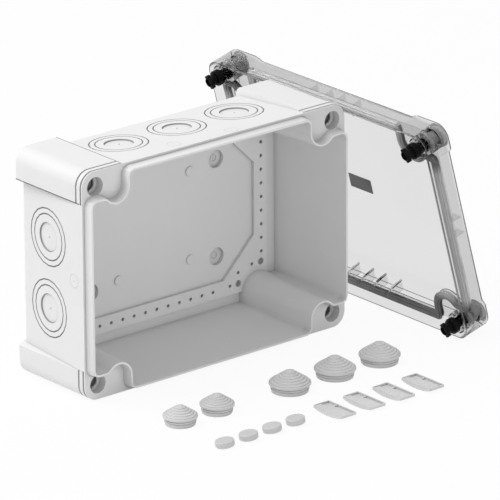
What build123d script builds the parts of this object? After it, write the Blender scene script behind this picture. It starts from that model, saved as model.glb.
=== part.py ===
from build123d import *

import os
from math import atan2, cos, pi, radians, sin, sqrt

# Sizes in millimetres. The box stands on a long side: X runs along its width, Z up its height,
# the rear face lies in Y = 0 and the opening looks towards -Y.

# Overall shape of the moulded housing
BOX_W = 285.0
BOX_H = 201.0
BODY_D = 90.0
CORNER_R = 13.0
REAR_EDGE = 2.0

# Corner blocks and the drafted panels between them
BLOCK_W = 43.0
BLOCK_H = 26.3
PANEL_DROP = 6.4
PANEL_EDGE_R = 6.0
STEP_RUN = 1.8
GROOVE_W = 1.9
GROOVE_DEEP = 2.0
GROOVE_BACK = 2.1
GROOVE_PITCH = 6.0

# Opening and its sealing lip, which widens towards its foot on the shoulder
OPENING_INSET = 5.2
OPENING_CORNER_R = 4.0
LIP_H = 8.2
LIP_T = 1.8
LIP_WAIST_T = 2.2
LIP_WAIST_H = 2.6
LIP_FOOT_T = 3.1
CAVITY_DRAFT = 3.4
BASE_T = 7.0

# Lobes of the opening around the lid screws
SCREW_INSET_X = 13.9
SCREW_INSET_Z = 13.5
LOBE_W = 44.7
LOBE_H = 30.7
LOBE_SIDE_H = 24.7
LOBE_R = 14.0
LOBE_BLEND_R = 5.0
LEAST_R = 0.4
LOBE_STEPS = 9
CORNER_STEPS = 2
ROUND_STEPS = 5

# Screw sockets in the corner columns
SOCKET_R = 8.25
SOCKET_SIDES = 16
SOCKET_DEEP = 8.0
SOCKET_FLOOR_T = 1.5
THROAT_R = 5.3
THROAT_SIDES = 12
THROAT_DEEP = 24.0
LATCH_ROOM_H = 4.6
LUG_SPAN = 13.0
LUG_W = 4.6
LUG_TURN = 63.0
LUG_FIT = 0.4

# Knock-outs in the side walls
KNOCKOUT_GROOVE_R = (25.2, 20.2)
KNOCKOUT_GROOVE_W = 1.2
KNOCKOUT_GROOVE_DEEP = 1.0
KNOCKOUT_DISC_R = 12.9
KNOCKOUT_DISC_SLOPE = 0.5
KNOCKOUT_DISC_DEEP = 1.2
KNOCKOUT_SIDES = 20
KNOCKOUT_FROM_BACK = 39.4
KNOCKOUT_PITCH_X = 62.7
KNOCKOUT_PITCH_Z = 63.1

# Raised floor with its screw posts
PLATEAU_W = 246.2
PLATEAU_H = 164.0
PLATEAU_T = 3.0
PLATEAU_R = 4.0
FIELD_W = 218.0
FIELD_H = 135.2
FIELD_CUT = 34.6
FIELD_DEEP = 3.0
POST_PITCH = 12.46
POST_R = 1.5
POST_DEEP = 4.5
POST_SIDES = 6
POST_ROW_Z = 75.0
POST_ROW_COUNT = 11
POST_COLUMN_X = 116.8
POST_COLUMN_COUNT = 9
CORNER_POSTS = ((81.3, 73.8), (90.6, 63.6), (106.0, 59.3))
PLATE_HOLE_R = 3.1
PLATE_HOLES = ((90.5, 73.5), (116.0, 59.0))
PAD_X = 39.5
PAD_Z = 40.0
PAD_R = 4.0
PAD_SIDES = 10
PAD_H = 1.2

# Wall fixing holes in sunk wells, and the relieved rear face
FIXING_X = 69.0
FIXING_Z = 44.3
WELL_R = 8.0
WELL_SIDES = 16
WELL_DEEP = 3.6
FIXING_R = 2.75
FIXING_BOSS_R = 7.0
FIXING_BOSS_SIDES = 8
REAR_RELIEF_W = 224.0
REAR_RELIEF_H = 142.0
REAR_RELIEF_DEEP = 1.6
REAR_RELIEF_R = 12.0

# Clear lid, in its own frame: rim in Y = 0, outer face towards -Y
LID_D = 27.0
LID_WALL = 2.2
LID_PANE_T = 2.5
LID_DROP = 3.2
LID_EDGE = 2.0
LID_PANEL_EDGE_R = 2.5
LID_BLOCK_W = 36.5
LID_BLOCK_H = 22.8
LID_LONG_STEP_RUN = 7.0
LID_SHORT_STEP_RUN = 3.3
LID_TUBE_R = 9.6
LID_TUBE_SIDES = 20
LID_TUBE_START = 1.5
LID_HEAD_SINK = 6.1
SHELF_T = 1.5
RIB_T = 1.3
RIB_LOW = 9.5
GUSSET_T = 1.7
GUSSET_REACH = 15.0
GUSSET_LOW = 12.5
GUSSETS_LONG_X = (23.0, 3.5, -13.0, -33.0)
GUSSETS_SHORT_Z = (10.5, -4.5)

# Seal in the lid's channel
SEAL_INNER = 2.8
SEAL_OUTER = 1.2
SEAL_LOW = 7.8
SEAL_HIGH = 13.2
SEAL_SIDE_FIT = 0.05
SEAL_SEAT_FIT = 0.03

# Quarter-turn lid screws
SCREW_R = 5.6
SCREW_RUNNING_FIT = 0.06
SCREW_TIP = 13.3
SCREW_CORE_R = 4.6
SCREW_END_R = 3.6
SCREW_END_DEEP = 1.6
SCREW_LUG_BACK = 0.8
SCREW_LUG_H = 2.8
SCREW_COLLAR_R = 7.2
SCREW_COLLAR_BACK = 7.8
SCREW_COLLAR_H = 5.1
SCREW_HEAD_R = 7.6
SCREW_HEAD_H = 4.6
SCREW_HEAD_FIT = 0.4
SCREW_SLOT_W = 2.0
SCREW_SLOT_L = 11.0
SCREW_SLOT_DEEP = 2.2
SCREW_EDGE = 0.6
SCREW_SIDES = 14

# Where the lid leans beside the housing
LEAN = 15.1
LEAN_GAP = 0.26
LID_FOOT_Y = -50.0

# Loose plug-in seals: flange radius, collar radius, top height, steps, hollow radius
SMALL_SEAL = (14.7, 13.4, 16.5, 5, 10.6)
LARGE_SEAL = (17.9, 16.4, 18.7, 6, 13.2)
SEAL_COLLAR_H = 3.2
SEAL_GROOVE_H = 0.8
SEAL_BAND_H = 1.1
SEAL_GROOVE_DEEP = 1.0
SEAL_FLANGE_Z = 6.2
SEAL_FLANGE_H = 2.2
SEAL_NOSE_R = 1.9
SEAL_NOSE_H = 1.0
SEAL_SKIN = 1.6
SEAL_FOOT_TAPER = 0.7
SEAL_TREAD_SHARE = 0.72
SEAL_RISE_SHARE = 0.22
SEAL_SIDES = 14
SMALL_SEAL_PLACES = ((-111.8, -177.3), (-71.9, -176.8))
LARGE_SEAL_PLACES = ((5.1, -179.2), (55.4, -178.6), (105.3, -178.4))

# Plugs for the fixing wells
PLUG_R = 8.15
PLUG_H = 5.0
PLUG_STEM_R = 3.0
PLUG_EDGE = 0.5
PLUG_SIDES = 16
PLUG_TILT = 8.0
PLUG_TILT_HEADING = 140.0
PLUG_PLACES = ((-116.8, -241.1), (-91.6, -241.2), (-66.2, -241.0), (-40.6, -240.6))

# Cover caps lying open side up
CAP_W = 17.0
CAP_L = 36.0
CAP_H = 4.4
CAP_END_H = 1.9
CAP_CORNER = 0.8
CAP_RIM = 1.2
CAP_SINK = 0.5
CAP_POCKET_DEEP = 1.6
CAP_POCKET_L = 9.0
CAP_POCKET_W = 8.6
CAP_STRIP_W = 4.2
CAP_RIB_T = 2.4
CAP_PLACES = ((-0.7, -243.6), (31.0, -244.1), (63.2, -244.4), (95.6, -244.4))

FLOOR_Z = -BOX_H / 2
HALF_W = BOX_W / 2
HALF_H = BOX_H / 2
FLOOR_Y = -(BASE_T + PLATEAU_T)
SCREW_X = HALF_W - SCREW_INSET_X
SCREW_Z = HALF_H - SCREW_INSET_Z
FOUR_WAYS = ((1, 1), (-1, 1), (-1, -1), (1, -1))


# Sketch planes and small helpers

def wall_plane(y):
    """Sketch plane across the box at depth y, with sketch x along X and sketch y along Z."""
    return Plane(origin=(0, y, 0), x_dir=(1, 0, 0), z_dir=(0, -1, 0))


def slab(sketch, y_from, y_to):
    """Solid of a sketch in X and Z between two depths."""
    front = min(y_from, y_to)
    back = max(y_from, y_to)
    return extrude(wall_plane(back) * sketch, back - front)


def rod(x, z, radius, y_from, y_to):
    """Round bar along Y."""
    return slab(Pos(x, z) * Circle(radius), y_from, y_to)


def prism(x, z, radius, sides, y_from, y_to):
    """Bar along Y with flat sides, whose flats lie at radius."""
    return slab(Pos(x, z) * RegularPolygon(radius, sides, major_radius=False), y_from, y_to)


def corner_points(x, z):
    """The four mirrored positions of one point of the front view."""
    return [(sx * x, sz * z) for sx, sz in FOUR_WAYS]


def edges_at(shape, y, tolerance=0.01):
    """Edges that lie wholly at depth y."""
    return shape.edges().filter_by_position(Axis.Y, y - tolerance, y + tolerance)


def ring_corners(radius, height, sides):
    """Corner points of a flat-sided ring round Z."""
    angles = [2 * pi * i / sides for i in range(sides)]
    return [Vector(radius * cos(a), radius * sin(a), height) for a in angles]


def bands(rings):
    """Flat faces that join each ring of corner points to the next."""
    faces = []
    for low, high in zip(rings, rings[1:]):
        for i in range(len(low)):
            j = (i + 1) % len(low)
            faces.append(Face(Wire.make_polygon([low[i], low[j], high[j], high[i]])))
    return faces


def turned(profile, sides):
    """Solid of a profile of radii and heights turned about Z in flat facets, its two ends closed."""
    rings = [ring_corners(radius, height, sides) for radius, height in profile]
    ends = [Face(Wire.make_polygon(rings[0])), Face(Wire.make_polygon(rings[-1]))]
    return Solid(Shell(ends + bands(rings)))


def turned_ring(profile, sides):
    """Ring-shaped solid of a closed profile of radii and heights turned about Z in flat facets."""
    rings = [ring_corners(radius, height, sides) for radius, height in profile]
    return Solid(Shell(bands(rings + rings[:1])))


# Outline of the opening

def arc_points(centre, radius, start, end, steps):
    """Points on an arc between two angles in radians, both ends included."""
    turn = (end - start) / steps
    angles = [start + turn * i for i in range(steps + 1)]
    return [(centre[0] + radius * cos(a), centre[1] + radius * sin(a)) for a in angles]


def quarter_outline(grow):
    """Points of the opening's upper right quarter, from its side wall round the lobe to its top wall."""
    half_x = HALF_W - OPENING_INSET - grow
    half_z = HALF_H - OPENING_INSET - grow
    side_z = HALF_H - LOBE_SIDE_H - grow
    lobe = (HALF_W - LOBE_W + LOBE_R, HALF_H - LOBE_H + LOBE_R)
    lobe_r = LOBE_R + grow
    corner_r = max(OPENING_CORNER_R - grow, LEAST_R)
    blend_r = max(LOBE_BLEND_R - grow, LEAST_R)
    drop = lobe[1] - side_z + blend_r
    blend = (lobe[0] + sqrt((lobe_r + blend_r) ** 2 - drop ** 2), side_z - blend_r)
    meet = atan2(blend[1] - lobe[1], blend[0] - lobe[0])
    edge_x = lobe[0] - lobe_r
    points = arc_points((half_x - corner_r, side_z - corner_r), corner_r, 0, pi / 2, CORNER_STEPS)
    points += arc_points(blend, blend_r, pi / 2, meet + pi, CORNER_STEPS)
    points += arc_points(lobe, lobe_r, meet, -pi, LOBE_STEPS)[1:]
    points += arc_points((edge_x - corner_r, half_z - corner_r), corner_r, 0, pi / 2, CORNER_STEPS)
    return points


def opening_outline(grow):
    """Outline of the opening, made smaller by grow: its lobes swing round the screw corners."""
    quarter = quarter_outline(grow)
    points = list(quarter)
    points += [(-x, z) for x, z in reversed(quarter)]
    points += [(-x, -z) for x, z in quarter]
    points += [(x, -z) for x, z in reversed(quarter)]
    return make_face(Polyline(*points, close=True))


def rounded_outline(inset):
    """Outline of the box made smaller by inset, its rounded corners in short straight steps."""
    radius = CORNER_R - LID_WALL
    centre = (HALF_W - inset - radius, HALF_H - inset - radius)
    quarter = arc_points(centre, radius, 0, pi / 2, ROUND_STEPS)
    points = list(quarter)
    points += [(-x, z) for x, z in reversed(quarter)]
    points += [(-x, -z) for x, z in quarter]
    points += [(x, -z) for x, z in reversed(quarter)]
    return make_face(Polyline(*points, close=True))


def ring_outline(inner_grow, outer_grow):
    """Band between two sizes of the opening's outline."""
    return opening_outline(outer_grow) - opening_outline(inner_grow)


# Blocks and panels shared by the housing and the lid

def panel_cut(half_reach, half_span, depth_start, depth_end, drop, run, edge_r):
    """Cutter for one drafted panel above the box, its face sinking by drop towards depth_end."""
    side = 1 if depth_end > depth_start else -1
    slope_end = depth_end - side * edge_r
    low = half_reach - drop
    clear = half_reach + drop
    with BuildSketch(Plane.YZ) as profile:
        with BuildLine():
            start = (depth_start, half_reach)
            knee = (slope_end, low + drop * edge_r / abs(depth_end - depth_start))
            foot = (depth_end, knee[1] - edge_r)
            Line(start, knee)
            RadiusArc(knee, foot, side * edge_r)
            Polyline(foot, (depth_end + side, foot[1]), (depth_end + side, clear),
                     (depth_start, clear), start)
        make_face()
    wedge = extrude(profile.sketch, half_span, both=True)
    tall = clear - foot[1]
    lower = half_span - run * (half_reach - foot[1]) / drop
    upper = half_span + run * (clear - half_reach) / drop
    with BuildSketch(Plane.XZ) as funnel:
        with BuildLine():
            Polyline((-lower, foot[1]), (lower, foot[1]), (upper, foot[1] + tall),
                     (-upper, foot[1] + tall), (-lower, foot[1]))
        make_face()
    ends = extrude(funnel.sketch, 2 * BOX_W, both=True)
    return wedge & ends


def opposite_pair(cut, turn):
    """A cutter turned about the box's middle, and the same on the opposite wall."""
    return [Rot(0, turn, 0) * cut, Rot(0, turn + 180, 0) * cut]


def housing_panel_cuts():
    """Cutters for the drafted panels of the housing's four walls."""
    sizes = (-BODY_D, 0, PANEL_DROP, STEP_RUN, PANEL_EDGE_R)
    long_wall = panel_cut(HALF_H, HALF_W - BLOCK_W, *sizes)
    short_wall = panel_cut(HALF_W, HALF_H - BLOCK_H, *sizes)
    return opposite_pair(long_wall, 0) + opposite_pair(short_wall, 90)


def lid_panel_cuts():
    """Cutters for the drafted panels of the lid's four walls."""
    long_wall = panel_cut(HALF_H, HALF_W - LID_BLOCK_W, 0, -LID_D, LID_DROP,
                          LID_LONG_STEP_RUN, LID_PANEL_EDGE_R)
    short_wall = panel_cut(HALF_W, HALF_H - LID_BLOCK_H, 0, -LID_D, LID_DROP,
                           LID_SHORT_STEP_RUN, LID_PANEL_EDGE_R)
    return opposite_pair(long_wall, 0) + opposite_pair(short_wall, 90)


# Housing

def housing_shell():
    """Outer moulding with corner blocks, drafted panels, cavity and sealing lip."""
    shell = slab(RectangleRounded(BOX_W, BOX_H, CORNER_R), 0, -BODY_D)
    shell = chamfer(edges_at(shell, 0), REAR_EDGE)
    shell -= housing_panel_cuts()
    foot = wall_plane(-BODY_D) * opening_outline(-LIP_FOOT_T)
    waist = wall_plane(-BODY_D - LIP_WAIST_H) * opening_outline(-LIP_WAIST_T)
    crest = wall_plane(-BODY_D - LIP_H) * opening_outline(-LIP_T)
    shell += [loft([foot, waist], ruled=True), loft([waist, crest], ruled=True)]
    return shell - cavity()


def cavity():
    """Space inside the housing, narrower towards the base as the mould needs."""
    mouth = wall_plane(-BODY_D - LIP_H) * opening_outline(0)
    base = wall_plane(-BASE_T) * opening_outline(CAVITY_DRAFT)
    return loft([base, mouth], ruled=True)


def corner_grooves():
    """Pairs of grooves that wrap the corner blocks just behind the shoulder."""
    frame = RectangleRounded(BOX_W + 2, BOX_H + 2, CORNER_R + 1)
    frame -= RectangleRounded(BOX_W - 2 * GROOVE_DEEP, BOX_H - 2 * GROOVE_DEEP, CORNER_R - GROOVE_DEEP)
    blocks = Sketch()
    for x, z in corner_points(HALF_W - BLOCK_W / 2, HALF_H - BLOCK_H / 2):
        blocks += Pos(x, z) * Rectangle(BLOCK_W + 2, BLOCK_H + 2)
    wrap = frame & blocks
    first = -BODY_D + GROOVE_BACK
    second = first + GROOVE_PITCH
    return [slab(wrap, y - GROOVE_W / 2, y + GROOVE_W / 2) for y in (first, second)]


def knockout(centre, normal, along):
    """Cutters of one knock-out: two round grooves that weaken the wall, and a sunk disc."""
    place = Plane(origin=centre, x_dir=along, z_dir=normal).location
    half = KNOCKOUT_GROOVE_W / 2
    cuts = []
    for radius in KNOCKOUT_GROOVE_R:
        rim_h = KNOCKOUT_GROOVE_DEEP
        groove = [(radius - 2 * half, rim_h), (radius + 2 * half, rim_h), (radius, -KNOCKOUT_GROOVE_DEEP)]
        cuts.append(place * turned_ring(groove, KNOCKOUT_SIDES))
    deep = KNOCKOUT_DISC_DEEP
    slope = KNOCKOUT_DISC_SLOPE
    disc = [(KNOCKOUT_DISC_R + slope, deep), (KNOCKOUT_DISC_R - slope, -deep)]
    cuts.append(place * turned(disc, KNOCKOUT_SIDES))
    return cuts


def knockouts():
    """All knock-outs: three in each long wall and two in each short wall."""
    depth = BODY_D - KNOCKOUT_FROM_BACK
    fall = PANEL_DROP * depth / BODY_D
    lean_back = PANEL_DROP / BODY_D
    cuts = []
    for side in (1, -1):
        for x in (-KNOCKOUT_PITCH_X, 0, KNOCKOUT_PITCH_X):
            centre = (x, -KNOCKOUT_FROM_BACK, side * (HALF_H - fall))
            cuts += knockout(centre, (0, lean_back, side), (1, 0, 0))
        for z in (-KNOCKOUT_PITCH_Z / 2, KNOCKOUT_PITCH_Z / 2):
            centre = (side * (HALF_W - fall), -KNOCKOUT_FROM_BACK, z)
            cuts += knockout(centre, (side, lean_back, 0), (0, 0, 1))
    return cuts


def screw_socket(x, z):
    """Stepped socket with a slotted floor, behind which the screw's lugs turn and hold."""
    mouth = -BODY_D
    ledge = mouth + SOCKET_DEEP
    room = ledge + SOCKET_FLOOR_T
    socket = prism(x, z, SOCKET_R, SOCKET_SIDES, ledge, mouth)
    socket += prism(x, z, THROAT_R, THROAT_SIDES, mouth + THROAT_DEEP, mouth)
    slot = Pos(x, z) * Rot(0, 0, LUG_TURN) * Rectangle(LUG_SPAN + 2 * LUG_FIT, LUG_W + 2 * LUG_FIT)
    socket += slab(slot, room, ledge - SOCKET_FLOOR_T)
    latch_room = Pos(x, z) * Rectangle(2 * SOCKET_R, 2 * SOCKET_R)
    return socket + slab(latch_room, room + LATCH_ROOM_H, room)


def plateau():
    """Raised floor and its round pads."""
    raised = slab(RectangleRounded(PLATEAU_W, PLATEAU_H, PLATEAU_R), -BASE_T + 1, FLOOR_Y)
    field = chamfer(Rectangle(FIELD_W, FIELD_H).vertices(), FIELD_CUT)
    raised -= slab(field, FLOOR_Y + FIELD_DEEP, FLOOR_Y)
    for x, z in corner_points(PAD_X, PAD_Z):
        raised += prism(x, z, PAD_R, PAD_SIDES, FLOOR_Y + FIELD_DEEP, FLOOR_Y + FIELD_DEEP - PAD_H)
    return raised


def post_positions():
    """Centres of the small screw posts in rows round the raised floor."""
    row_x = [POST_PITCH * (i - (POST_ROW_COUNT - 1) / 2) for i in range(POST_ROW_COUNT)]
    column_z = [POST_PITCH * (i - (POST_COLUMN_COUNT - 1) / 2) for i in range(POST_COLUMN_COUNT)]
    places = [(x, side * POST_ROW_Z) for side in (1, -1) for x in row_x]
    places += [(side * POST_COLUMN_X, z) for side in (1, -1) for z in column_z]
    for x, z in CORNER_POSTS:
        places += corner_points(x, z)
    return places


def floor_holes():
    """Blind holes of the posts, the plate holes and the fixing wells with their holes."""
    post_bottom = FLOOR_Y + POST_DEEP
    holes = [prism(x, z, POST_R, POST_SIDES, post_bottom, FLOOR_Y) for x, z in post_positions()]
    for x, z in PLATE_HOLES:
        for px, pz in corner_points(x, z):
            holes.append(prism(px, pz, PLATE_HOLE_R, PAD_SIDES, post_bottom, FLOOR_Y))
    well_top = FLOOR_Y + FIELD_DEEP
    for x, z in corner_points(FIXING_X, FIXING_Z):
        holes.append(prism(x, z, WELL_R, WELL_SIDES, well_top + WELL_DEEP, FLOOR_Y))
        holes.append(rod(x, z, FIXING_R, 0, FLOOR_Y))
    return holes


def rear_relief():
    """Shallow relief of the rear face, with a round land left at each fixing hole."""
    relief = RectangleRounded(REAR_RELIEF_W, REAR_RELIEF_H, REAR_RELIEF_R)
    for x, z in corner_points(FIXING_X, FIXING_Z):
        relief -= Pos(x, z) * RegularPolygon(FIXING_BOSS_R, FIXING_BOSS_SIDES)
    return slab(relief, 0, -REAR_RELIEF_DEEP)


def housing():
    """Moulded housing with all its cut-outs."""
    body = housing_shell() + plateau()
    cutters = corner_grooves() + knockouts() + floor_holes()
    cutters += [screw_socket(x, z) for x, z in corner_points(SCREW_X, SCREW_Z)]
    return body - cutters - rear_relief()


# Clear lid

def lid_shell():
    """Outer shape of the lid with its blocks and drafted panels, hollowed to its wall."""
    shell = slab(RectangleRounded(BOX_W, BOX_H, CORNER_R), 0, -LID_D)
    shell = chamfer(edges_at(shell, -LID_D), LID_EDGE)
    shell -= lid_panel_cuts()
    return shell - lid_hollow()


def lid_hollow():
    """Space inside the lid, from the rim to the pane."""
    roof = LID_D - LID_PANE_T
    narrow = LID_DROP * roof / LID_D
    rim = wall_plane(0) * rounded_outline(LID_WALL)
    top = wall_plane(-roof) * rounded_outline(LID_WALL + narrow)
    return loft([rim, top], ruled=True)


def seal_channel():
    """Shelf and two ribs that hold the seal and carry it round the screw tubes."""
    shelf_top = SEAL_HIGH + SHELF_T
    inner_rib = SEAL_INNER + SEAL_SIDE_FIT
    outer_rib = SEAL_OUTER + SEAL_SIDE_FIT
    shelf = RectangleRounded(BOX_W - LID_WALL, BOX_H - LID_WALL, CORNER_R)
    shelf -= opening_outline(inner_rib + RIB_T)
    channel = slab(shelf, -SEAL_HIGH, -shelf_top)
    inner = ring_outline(inner_rib + RIB_T, inner_rib)
    outer = ring_outline(-outer_rib, -outer_rib - RIB_T)
    channel += slab(inner, -RIB_LOW, -SEAL_HIGH)
    channel += slab(outer, -RIB_LOW, -SEAL_HIGH)
    return channel & lid_hollow()


def gusset(half_reach, position, turn):
    """Thin fin in the corner between the pane and a wall, with its free edge square to the pane."""
    roof = LID_D - LID_PANE_T
    shelf = SEAL_HIGH + SHELF_T / 2
    rib = half_reach - OPENING_INSET - SEAL_INNER - RIB_T / 2
    wall = half_reach - LID_WALL - LID_DROP
    free = half_reach - GUSSET_REACH
    base = -roof - LID_PANE_T / 2
    with BuildSketch(Plane.YZ.offset(position)) as fin:
        with BuildLine():
            Polyline((-shelf, wall), (-shelf, rib), (-GUSSET_LOW, rib), (-GUSSET_LOW, free),
                     (base, free), (base, wall), (-shelf, wall))
        make_face()
    return Rot(0, turn, 0) * extrude(fin.sketch, GUSSET_T / 2, both=True)


def gussets():
    """Fins on the long walls and on the short walls."""
    fins = [gusset(HALF_H, x, 0) for x in GUSSETS_LONG_X]
    fins += [gusset(HALF_H, -x, 180) for x in GUSSETS_LONG_X]
    fins += [gusset(HALF_W, -z, 90) for z in GUSSETS_SHORT_Z]
    fins += [gusset(HALF_W, z, -90) for z in GUSSETS_SHORT_Z]
    return fins


def lid():
    """Clear lid with seal channel, screw tubes and fins."""
    cover = lid_shell() + seal_channel()
    screws = corner_points(SCREW_X, SCREW_Z)
    pane_mid = -LID_D + LID_PANE_T / 2
    tubes = [prism(x, z, LID_TUBE_R, LID_TUBE_SIDES, -LID_TUBE_START, pane_mid) for x, z in screws]
    cover += gussets() + tubes
    sink = -LID_D + LID_HEAD_SINK
    bore_r = SCREW_R + SCREW_RUNNING_FIT
    seat_r = SCREW_HEAD_R + SCREW_HEAD_FIT
    bores = [prism(x, z, bore_r, SCREW_SIDES, 0, -LID_D) for x, z in screws]
    bores += [prism(x, z, seat_r, SCREW_SIDES, sink, -LID_D - 1) for x, z in screws]
    return cover - bores


def lid_seal():
    """Endless seal that follows the housing's lip round the opening."""
    return slab(ring_outline(SEAL_INNER, -SEAL_OUTER), -SEAL_LOW, -SEAL_HIGH + SEAL_SEAT_FIT)


def lid_screw(x, z):
    """Quarter-turn screw: slotted head, shank, retaining collar, hollow-ended core and two lugs."""
    head_seat = -LID_D + LID_HEAD_SINK
    head_top = head_seat - SCREW_HEAD_H
    collar = SCREW_TIP - SCREW_COLLAR_BACK
    screw = prism(x, z, SCREW_CORE_R, SCREW_SIDES, SCREW_TIP, collar)
    screw = chamfer(edges_at(screw, SCREW_TIP), SCREW_EDGE)
    grip = slab(Pos(x, z) * RegularPolygon(SCREW_COLLAR_R, SCREW_SIDES), collar, collar - SCREW_COLLAR_H)
    screw += chamfer(edges_at(grip, collar), SCREW_EDGE)
    shank = Pos(x, z) * RegularPolygon(SCREW_R, SCREW_SIDES)
    screw += slab(shank, collar - SCREW_COLLAR_H, head_seat)
    head = slab(Pos(x, z) * RegularPolygon(SCREW_HEAD_R, SCREW_SIDES), head_seat, head_top)
    screw += chamfer(edges_at(head, head_top), SCREW_EDGE)
    lugs = Rectangle(LUG_SPAN, LUG_W) & RegularPolygon(LUG_SPAN / 2, SCREW_SIDES)
    lug_front = SCREW_TIP - SCREW_LUG_BACK
    screw += slab(Pos(x, z) * Rot(0, 0, LUG_TURN) * lugs, lug_front, lug_front - SCREW_LUG_H)
    hollow = prism(x, z, SCREW_END_R, SCREW_SIDES, SCREW_TIP, SCREW_TIP - SCREW_END_DEEP)
    slot = Pos(x, z) * Rot(0, 0, LUG_TURN) * Rectangle(SCREW_SLOT_L, SCREW_SLOT_W)
    return screw - [hollow, slab(slot, head_top + SCREW_SLOT_DEEP, head_top - 1)]


def foot_distance():
    """X of the lid's lower rim edge, from which the leaning rim just clears the housing's corner."""
    lean = radians(LEAN)
    corner_x, corner_z = HALF_W - CORNER_R, HALF_H - CORNER_R
    reach = corner_x * cos(lean) + corner_z * sin(lean) + CORNER_R + LEAN_GAP
    return (reach + HALF_H * sin(lean)) / cos(lean)


def lean_lid(piece):
    """Move a piece of the lid from the lid's frame to where it leans beside the housing."""
    foot = Pos(foot_distance(), LID_FOOT_Y, FLOOR_Z)
    return foot * Rot(0, -LEAN, 0) * Rot(0, 0, 90) * Pos(0, 0, HALF_H) * piece


# Loose pieces on the floor in front

def plug_seal(flange_r, collar_r, top, steps, hollow_r):
    """Plug-in cable seal: grooved collar, flange and a stepped cone, hollow from below."""
    groove_r = collar_r - SEAL_GROOVE_DEEP
    band_z = SEAL_COLLAR_H + SEAL_GROOVE_H
    band_top = band_z + SEAL_BAND_H
    cone_z = SEAL_FLANGE_Z + SEAL_FLANGE_H
    cone_r = flange_r - SEAL_SKIN / 2
    rise = (top - SEAL_NOSE_H - cone_z) / steps
    tread = (cone_r - SEAL_NOSE_R) / steps
    profile = [(SEAL_NOSE_R, top - SEAL_SKIN - SEAL_NOSE_H), (hollow_r, cone_z - SEAL_SKIN), (hollow_r, 0),
               (collar_r - SEAL_FOOT_TAPER, 0), (collar_r, SEAL_COLLAR_H), (groove_r, SEAL_COLLAR_H),
               (groove_r, band_z), (collar_r, band_z), (collar_r, band_top), (groove_r, band_top),
               (groove_r, SEAL_FLANGE_Z), (flange_r, SEAL_FLANGE_Z), (flange_r, cone_z)]
    for step in range(steps):
        radius = cone_r - tread * step
        profile.append((radius - tread * SEAL_TREAD_SHARE, cone_z + rise * (step + SEAL_RISE_SHARE)))
        profile.append((radius - tread, cone_z + rise * (step + 1)))
    profile.append((SEAL_NOSE_R, top))
    return turned(profile, SEAL_SIDES)


def hole_plug():
    """Round plug for a fixing well, lying tilted on its rim and its stem."""
    lean = radians(PLUG_TILT)
    stem_h = (PLUG_R - PLUG_EDGE - PLUG_STEM_R) * sin(lean)
    profile = [(PLUG_STEM_R, -stem_h), (PLUG_STEM_R, 0), (PLUG_R - PLUG_EDGE, 0), (PLUG_R, PLUG_EDGE),
               (PLUG_R, PLUG_H - PLUG_EDGE), (PLUG_R - PLUG_EDGE, PLUG_H)]
    tilted = Rot(0, 0, PLUG_TILT_HEADING) * Rot(0, PLUG_TILT, 0) * turned(profile, PLUG_SIDES)
    return Pos(0, 0, -tilted.bounding_box().min.Z) * tilted


def cover_cap():
    """Tray-like cap with a bowed underside, two pockets and a cross rib."""
    half = CAP_L / 2
    low = CAP_H - CAP_END_H
    with BuildSketch(Plane.YZ) as side:
        with BuildLine():
            Polyline((-half, low), (-half, CAP_H), (half, CAP_H), (half, low))
            ThreePointArc((half, low), (0, 0), (-half, low))
        make_face()
    cap = extrude(side.sketch, CAP_W / 2, both=True)
    cap = chamfer(cap.edges().filter_by(Axis.Z), CAP_CORNER)
    inner_w = CAP_W - 2 * CAP_RIM
    inner_l = CAP_L - 2 * CAP_RIM
    cap -= Pos(0, 0, CAP_H) * Box(inner_w, inner_l, 2 * CAP_SINK)
    right = inner_w / 2
    far = inner_l / 2
    cap -= Pos(right - CAP_POCKET_W / 2, far - CAP_POCKET_L / 2, CAP_H) * Box(
        CAP_POCKET_W, CAP_POCKET_L, 2 * CAP_POCKET_DEEP)
    strip_l = inner_l - CAP_POCKET_L - CAP_RIB_T
    cap -= Pos(right - CAP_STRIP_W / 2, strip_l / 2 - far, CAP_H) * Box(
        CAP_STRIP_W, strip_l, 2 * CAP_POCKET_DEEP)
    return cap


def on_floor(piece, place):
    """Set a loose piece on the floor at a place in X and Y."""
    return Pos(place[0], place[1], FLOOR_Z) * piece


# Write one file for each piece

def write(node, shape):
    """Save a piece under its node name."""
    export_step(shape, "parts/" + node + ".step")


def main():
    """Build and save every piece."""
    os.makedirs("parts", exist_ok=True)
    write("housing", housing())
    write("lid", lean_lid(lid()))
    write("lid_seal", lean_lid(lid_seal()))
    for number, (x, z) in enumerate(corner_points(SCREW_X, SCREW_Z), 1):
        write("lid_screw_%d" % number, lean_lid(lid_screw(x, z)))
    for number, place in enumerate(SMALL_SEAL_PLACES, 1):
        write("plug_seal_small_%d" % number, on_floor(plug_seal(*SMALL_SEAL), place))
    for number, place in enumerate(LARGE_SEAL_PLACES, 1):
        write("plug_seal_large_%d" % number, on_floor(plug_seal(*LARGE_SEAL), place))
    for number, place in enumerate(PLUG_PLACES, 1):
        write("hole_plug_%d" % number, on_floor(hole_plug(), place))
    for number, place in enumerate(CAP_PLACES, 1):
        write("cover_cap_%d" % number, on_floor(cover_cap(), place))


main()
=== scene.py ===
"""Finishes, small details, studio and camera for a junction box with its clear lid and loose parts."""

import logging
import math
from dataclasses import dataclass, field
from enum import Enum
from typing import Any, Dict, List, Optional, Sequence, Tuple, Union

import bmesh
import bpy
from mathutils import Matrix, Vector


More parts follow.
